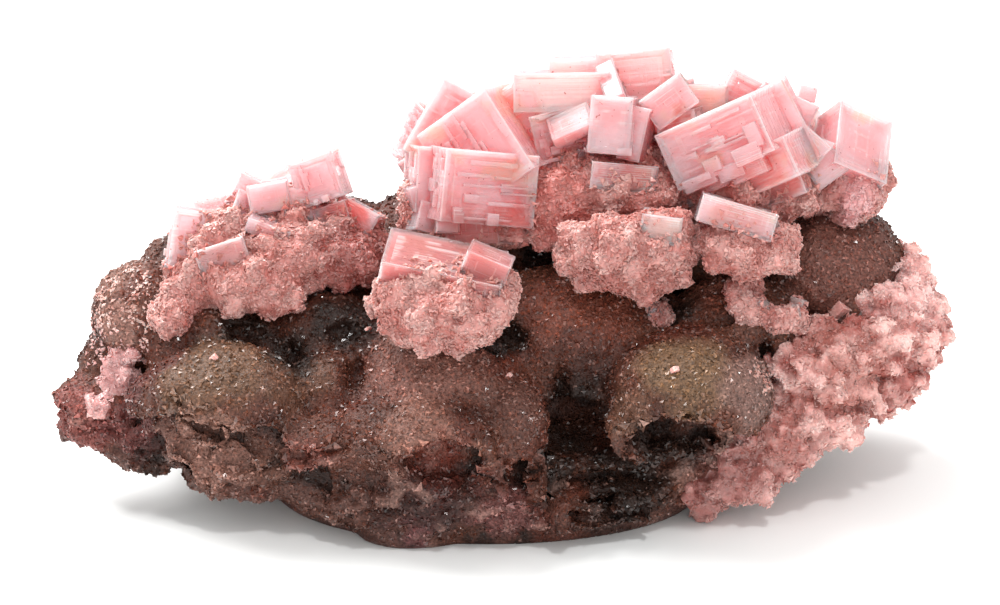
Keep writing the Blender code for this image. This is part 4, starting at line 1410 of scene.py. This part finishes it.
# %% Lumps of the crust
RIGHT_CRUST = [
    ((67, 6, 32), (6, 9, 8)),
    ((69, 5, 26), (7, 11, 7.5)),
    ((64, -4, 26), (8.5, 9, 9)),
    ((60, -6, 20.5), (9, 8, 7.5)),
    ((56, -9, 27), (6, 6, 5)),
    ((51, -11, 25), (7, 7.5, 7)),
    ((52, -10, 18.5), (9, 8, 7)),
    ((46, -14, 15), (8, 7, 6.5)),
    ((40.5, -15, 9.5), (7, 7, 5.5)),
    ((35, -17, 6), (5, 6, 3.5)),
    ((68, 15, 25), (6, 9, 8.5)),
    ((63, 22, 22), (6, 6, 7)),
]
LEFT_CRUST = [
    ((-64, -8.5, 22), (3, 3, 5)),
    ((-62.7, -10.4, 26.6), (2.6, 2.2, 1.8)),
    ((-62.8, -11, 22.8), (2.8, 2.6, 2.6)),
    ((-66, -13.6, 19.2), (2.6, 2.4, 1.9)),
]
print("crusts:", len(RIGHT_CRUST), "lumps on the right and", len(LEFT_CRUST), "on the left")

# %% Crust
RIGHT_BLOCKS = [
    {"per_mm2": 0.045, "sizes": (2.6, 5.2), "spread": 60, "out": 0.86},
    {"per_mm2": 0.08, "sizes": (1.3, 2.9), "spread": 80, "out": 1.0},
]
LEFT_BLOCKS = [{"per_mm2": 0.12, "sizes": (1.0, 2.2), "spread": 60, "out": 0.93}]
CRUSTS = [("crust_right", RIGHT_CRUST, RIGHT_BLOCKS, 0.76), ("crust_left", LEFT_CRUST, LEFT_BLOCKS, 0.9)]
CRUST_BEADS = [(3.0, 2.1), (1.7, 0.7)]
CHIPS_PER_MM2, CHIP_SIZES, CHIP_TILT = 1.3, (0.3, 0.9), 1.1
CRUST_FOOT = 0.2  # the crust ends just above the floor
CHIPS_FROM = 1.2  # and chips lie on it from this height

for seed, (node, lumps, block_sets, core) in enumerate(CRUSTS):
    rng = np.random.default_rng(500 + seed)
    rind = sugar_body(node + "_rind", lumps, rng, block_sets, CRUST_BEADS, core)
    places = places_of(lift(rind, CRUST_FOOT))
    store(rind, "open", ~(inside_lumps(places, ROCK_BODIES, COVERED_BY_ROCK) | (places[:, 2] < CHIPS_FROM)))
    sowing = (rind, corner, CHIPS_PER_MM2, CHIP_SIZES, CHIP_TILT, 320 + seed)
    chips = scatter(node + "_chips", *sowing, mask="open")
    for piece in (rind, chips):
        finish(piece, crust_finish, "pink_crust", node)

# %% [markdown]
# ## Loose salt and frost
#
# A few broken crystals lie on the front of the rock. Each is dropped from the front onto its surface, so
# it always touches. Where the rock's left shoulder is frosted, small pale grains lie in clumps.

# %% Loose bits of salt on the rock: X, Z, size, turn about X, Y and Z in degrees
SALT_BITS = [
    (-21.4, 32.6, (0.7, 0.5, 3.6), (70, -40, 0)),
    (-36.2, 36.6, (1.3, 1.3, 1.3), (20, 30, 10)),
    (27.7, 31.4, (1.1, 0.9, 1.3), (50, 10, 30)),
    (56.7, 32.5, (2.6, 2.0, 2.8), (30, 25, 40)),
    (-46, 31, (1.0, 0.8, 1.2), (10, 50, 0)),
    (1.5, 27.5, (0.9, 0.8, 1.0), (40, 10, 70)),
]
BIT_BEVEL = 0.1
IN_FRONT = -90  # each bit comes from here, in Y
bpy.context.view_layer.update()
bits_bm = bmesh.new()
for x, z, size, angles in SALT_BITS:
    hit, place, _, _ = rock.ray_cast(Vector((x, IN_FRONT, z)) * MM, Vector((0, 1, 0)))
    if hit:
        cube_at(bits_bm, place / MM, angles, Vector(size))
cut_edges(bits_bm, BIT_BEVEL * MM)
salt_bits = from_bmesh("salt_bits", bits_bm)
store(salt_bits, "proud", 1.0)
finish(salt_bits, crust_finish, "pink_crust", "matrix")

# %% Frost of salt on the rock: centre, radius
FROST = [
    ((-62, -7, 32), 9),
    ((-56, -9, 36), 5),
    ((-67, -8, 26), 4),
    ((43, -24, 28), 4),
    ((37, -24, 9), 7),
]
FROST_PER_MM2, FROST_SIZES = 2.6, (0.3, 0.8)
frost_finish = sugar_material("salt_frost", linear(212, 168, 158), linear(170, 120, 110), 0.3, 1.0)

CLUMP_PITCH, CLUMP_STRENGTH = 2.5, 1.3
places = places_of(rock)
frosted = np.zeros(len(places))
for centre, radius in FROST:
    frosted = np.maximum(frosted, 1 - np.sqrt(((places - centre) ** 2).sum(1)) / radius)
clumps = np.array([noise.noise(Vector(p) / CLUMP_PITCH) for p in places])
store(rock, "frost", clear_of_floor * np.clip(frosted + CLUMP_STRENGTH * clumps, 0, 1) * (frosted > 0))
frost = scatter("salt_frost", rock, corner, FROST_PER_MM2, FROST_SIZES, GRAIN_TILT, 61, mask="frost")
store(frost, "proud", 0.5)
finish(frost, frost_finish, "pink_crust", "matrix")

# %% [markdown]
# ## Druse
#
# The rest of the rock is covered with tiny brown grains that take the rock's own colour. They thin out on
# the torn ground and stop where sugar or crust covers the rock. Larger shards stand along the lips of the
# domes.

# %% Druse on the rock
DRUSE_PER_MM2, DRUSE_SIZES, DRUSE_TILT = 0.86, (0.28, 0.72), 0.75
SHARDS_PER_MM2, SHARD_SIZES, SHARD_TILT = 1.2, (0.5, 1.4), 1.0
SHARDS_FROM = 2  # shards stand on the lips from this height
COVERED = [lump for group in GROUPS for lump in group[2]] + RIGHT_CRUST
places = places_of(rock)
open_share = clear_of_floor * ~inside_lumps(places, COVERED, 0.9)
store(rock, "druse", open_share * (1 - 0.3 * torn_values))
store(rock, "lip", open_share * 4 * torn_values * (1 - torn_values) * (places[:, 2] > SHARDS_FROM))
for part, seed in (("druse_fine", 11), ("druse_coarse", 37)):
    piece = lift(scatter(part, rock, corner, DRUSE_PER_MM2, DRUSE_SIZES, DRUSE_TILT, seed, mask="druse"))
    finish(piece, druse_material, "brown_matrix", "matrix")
shards = scatter("lip_shards", rock, corner, SHARDS_PER_MM2, SHARD_SIZES, SHARD_TILT, 53, mask="lip")
finish(shards, druse_material, "brown_matrix", "matrix")

# %% [markdown]
# ## The end

# %% Removing the corner grain
drop(corner)
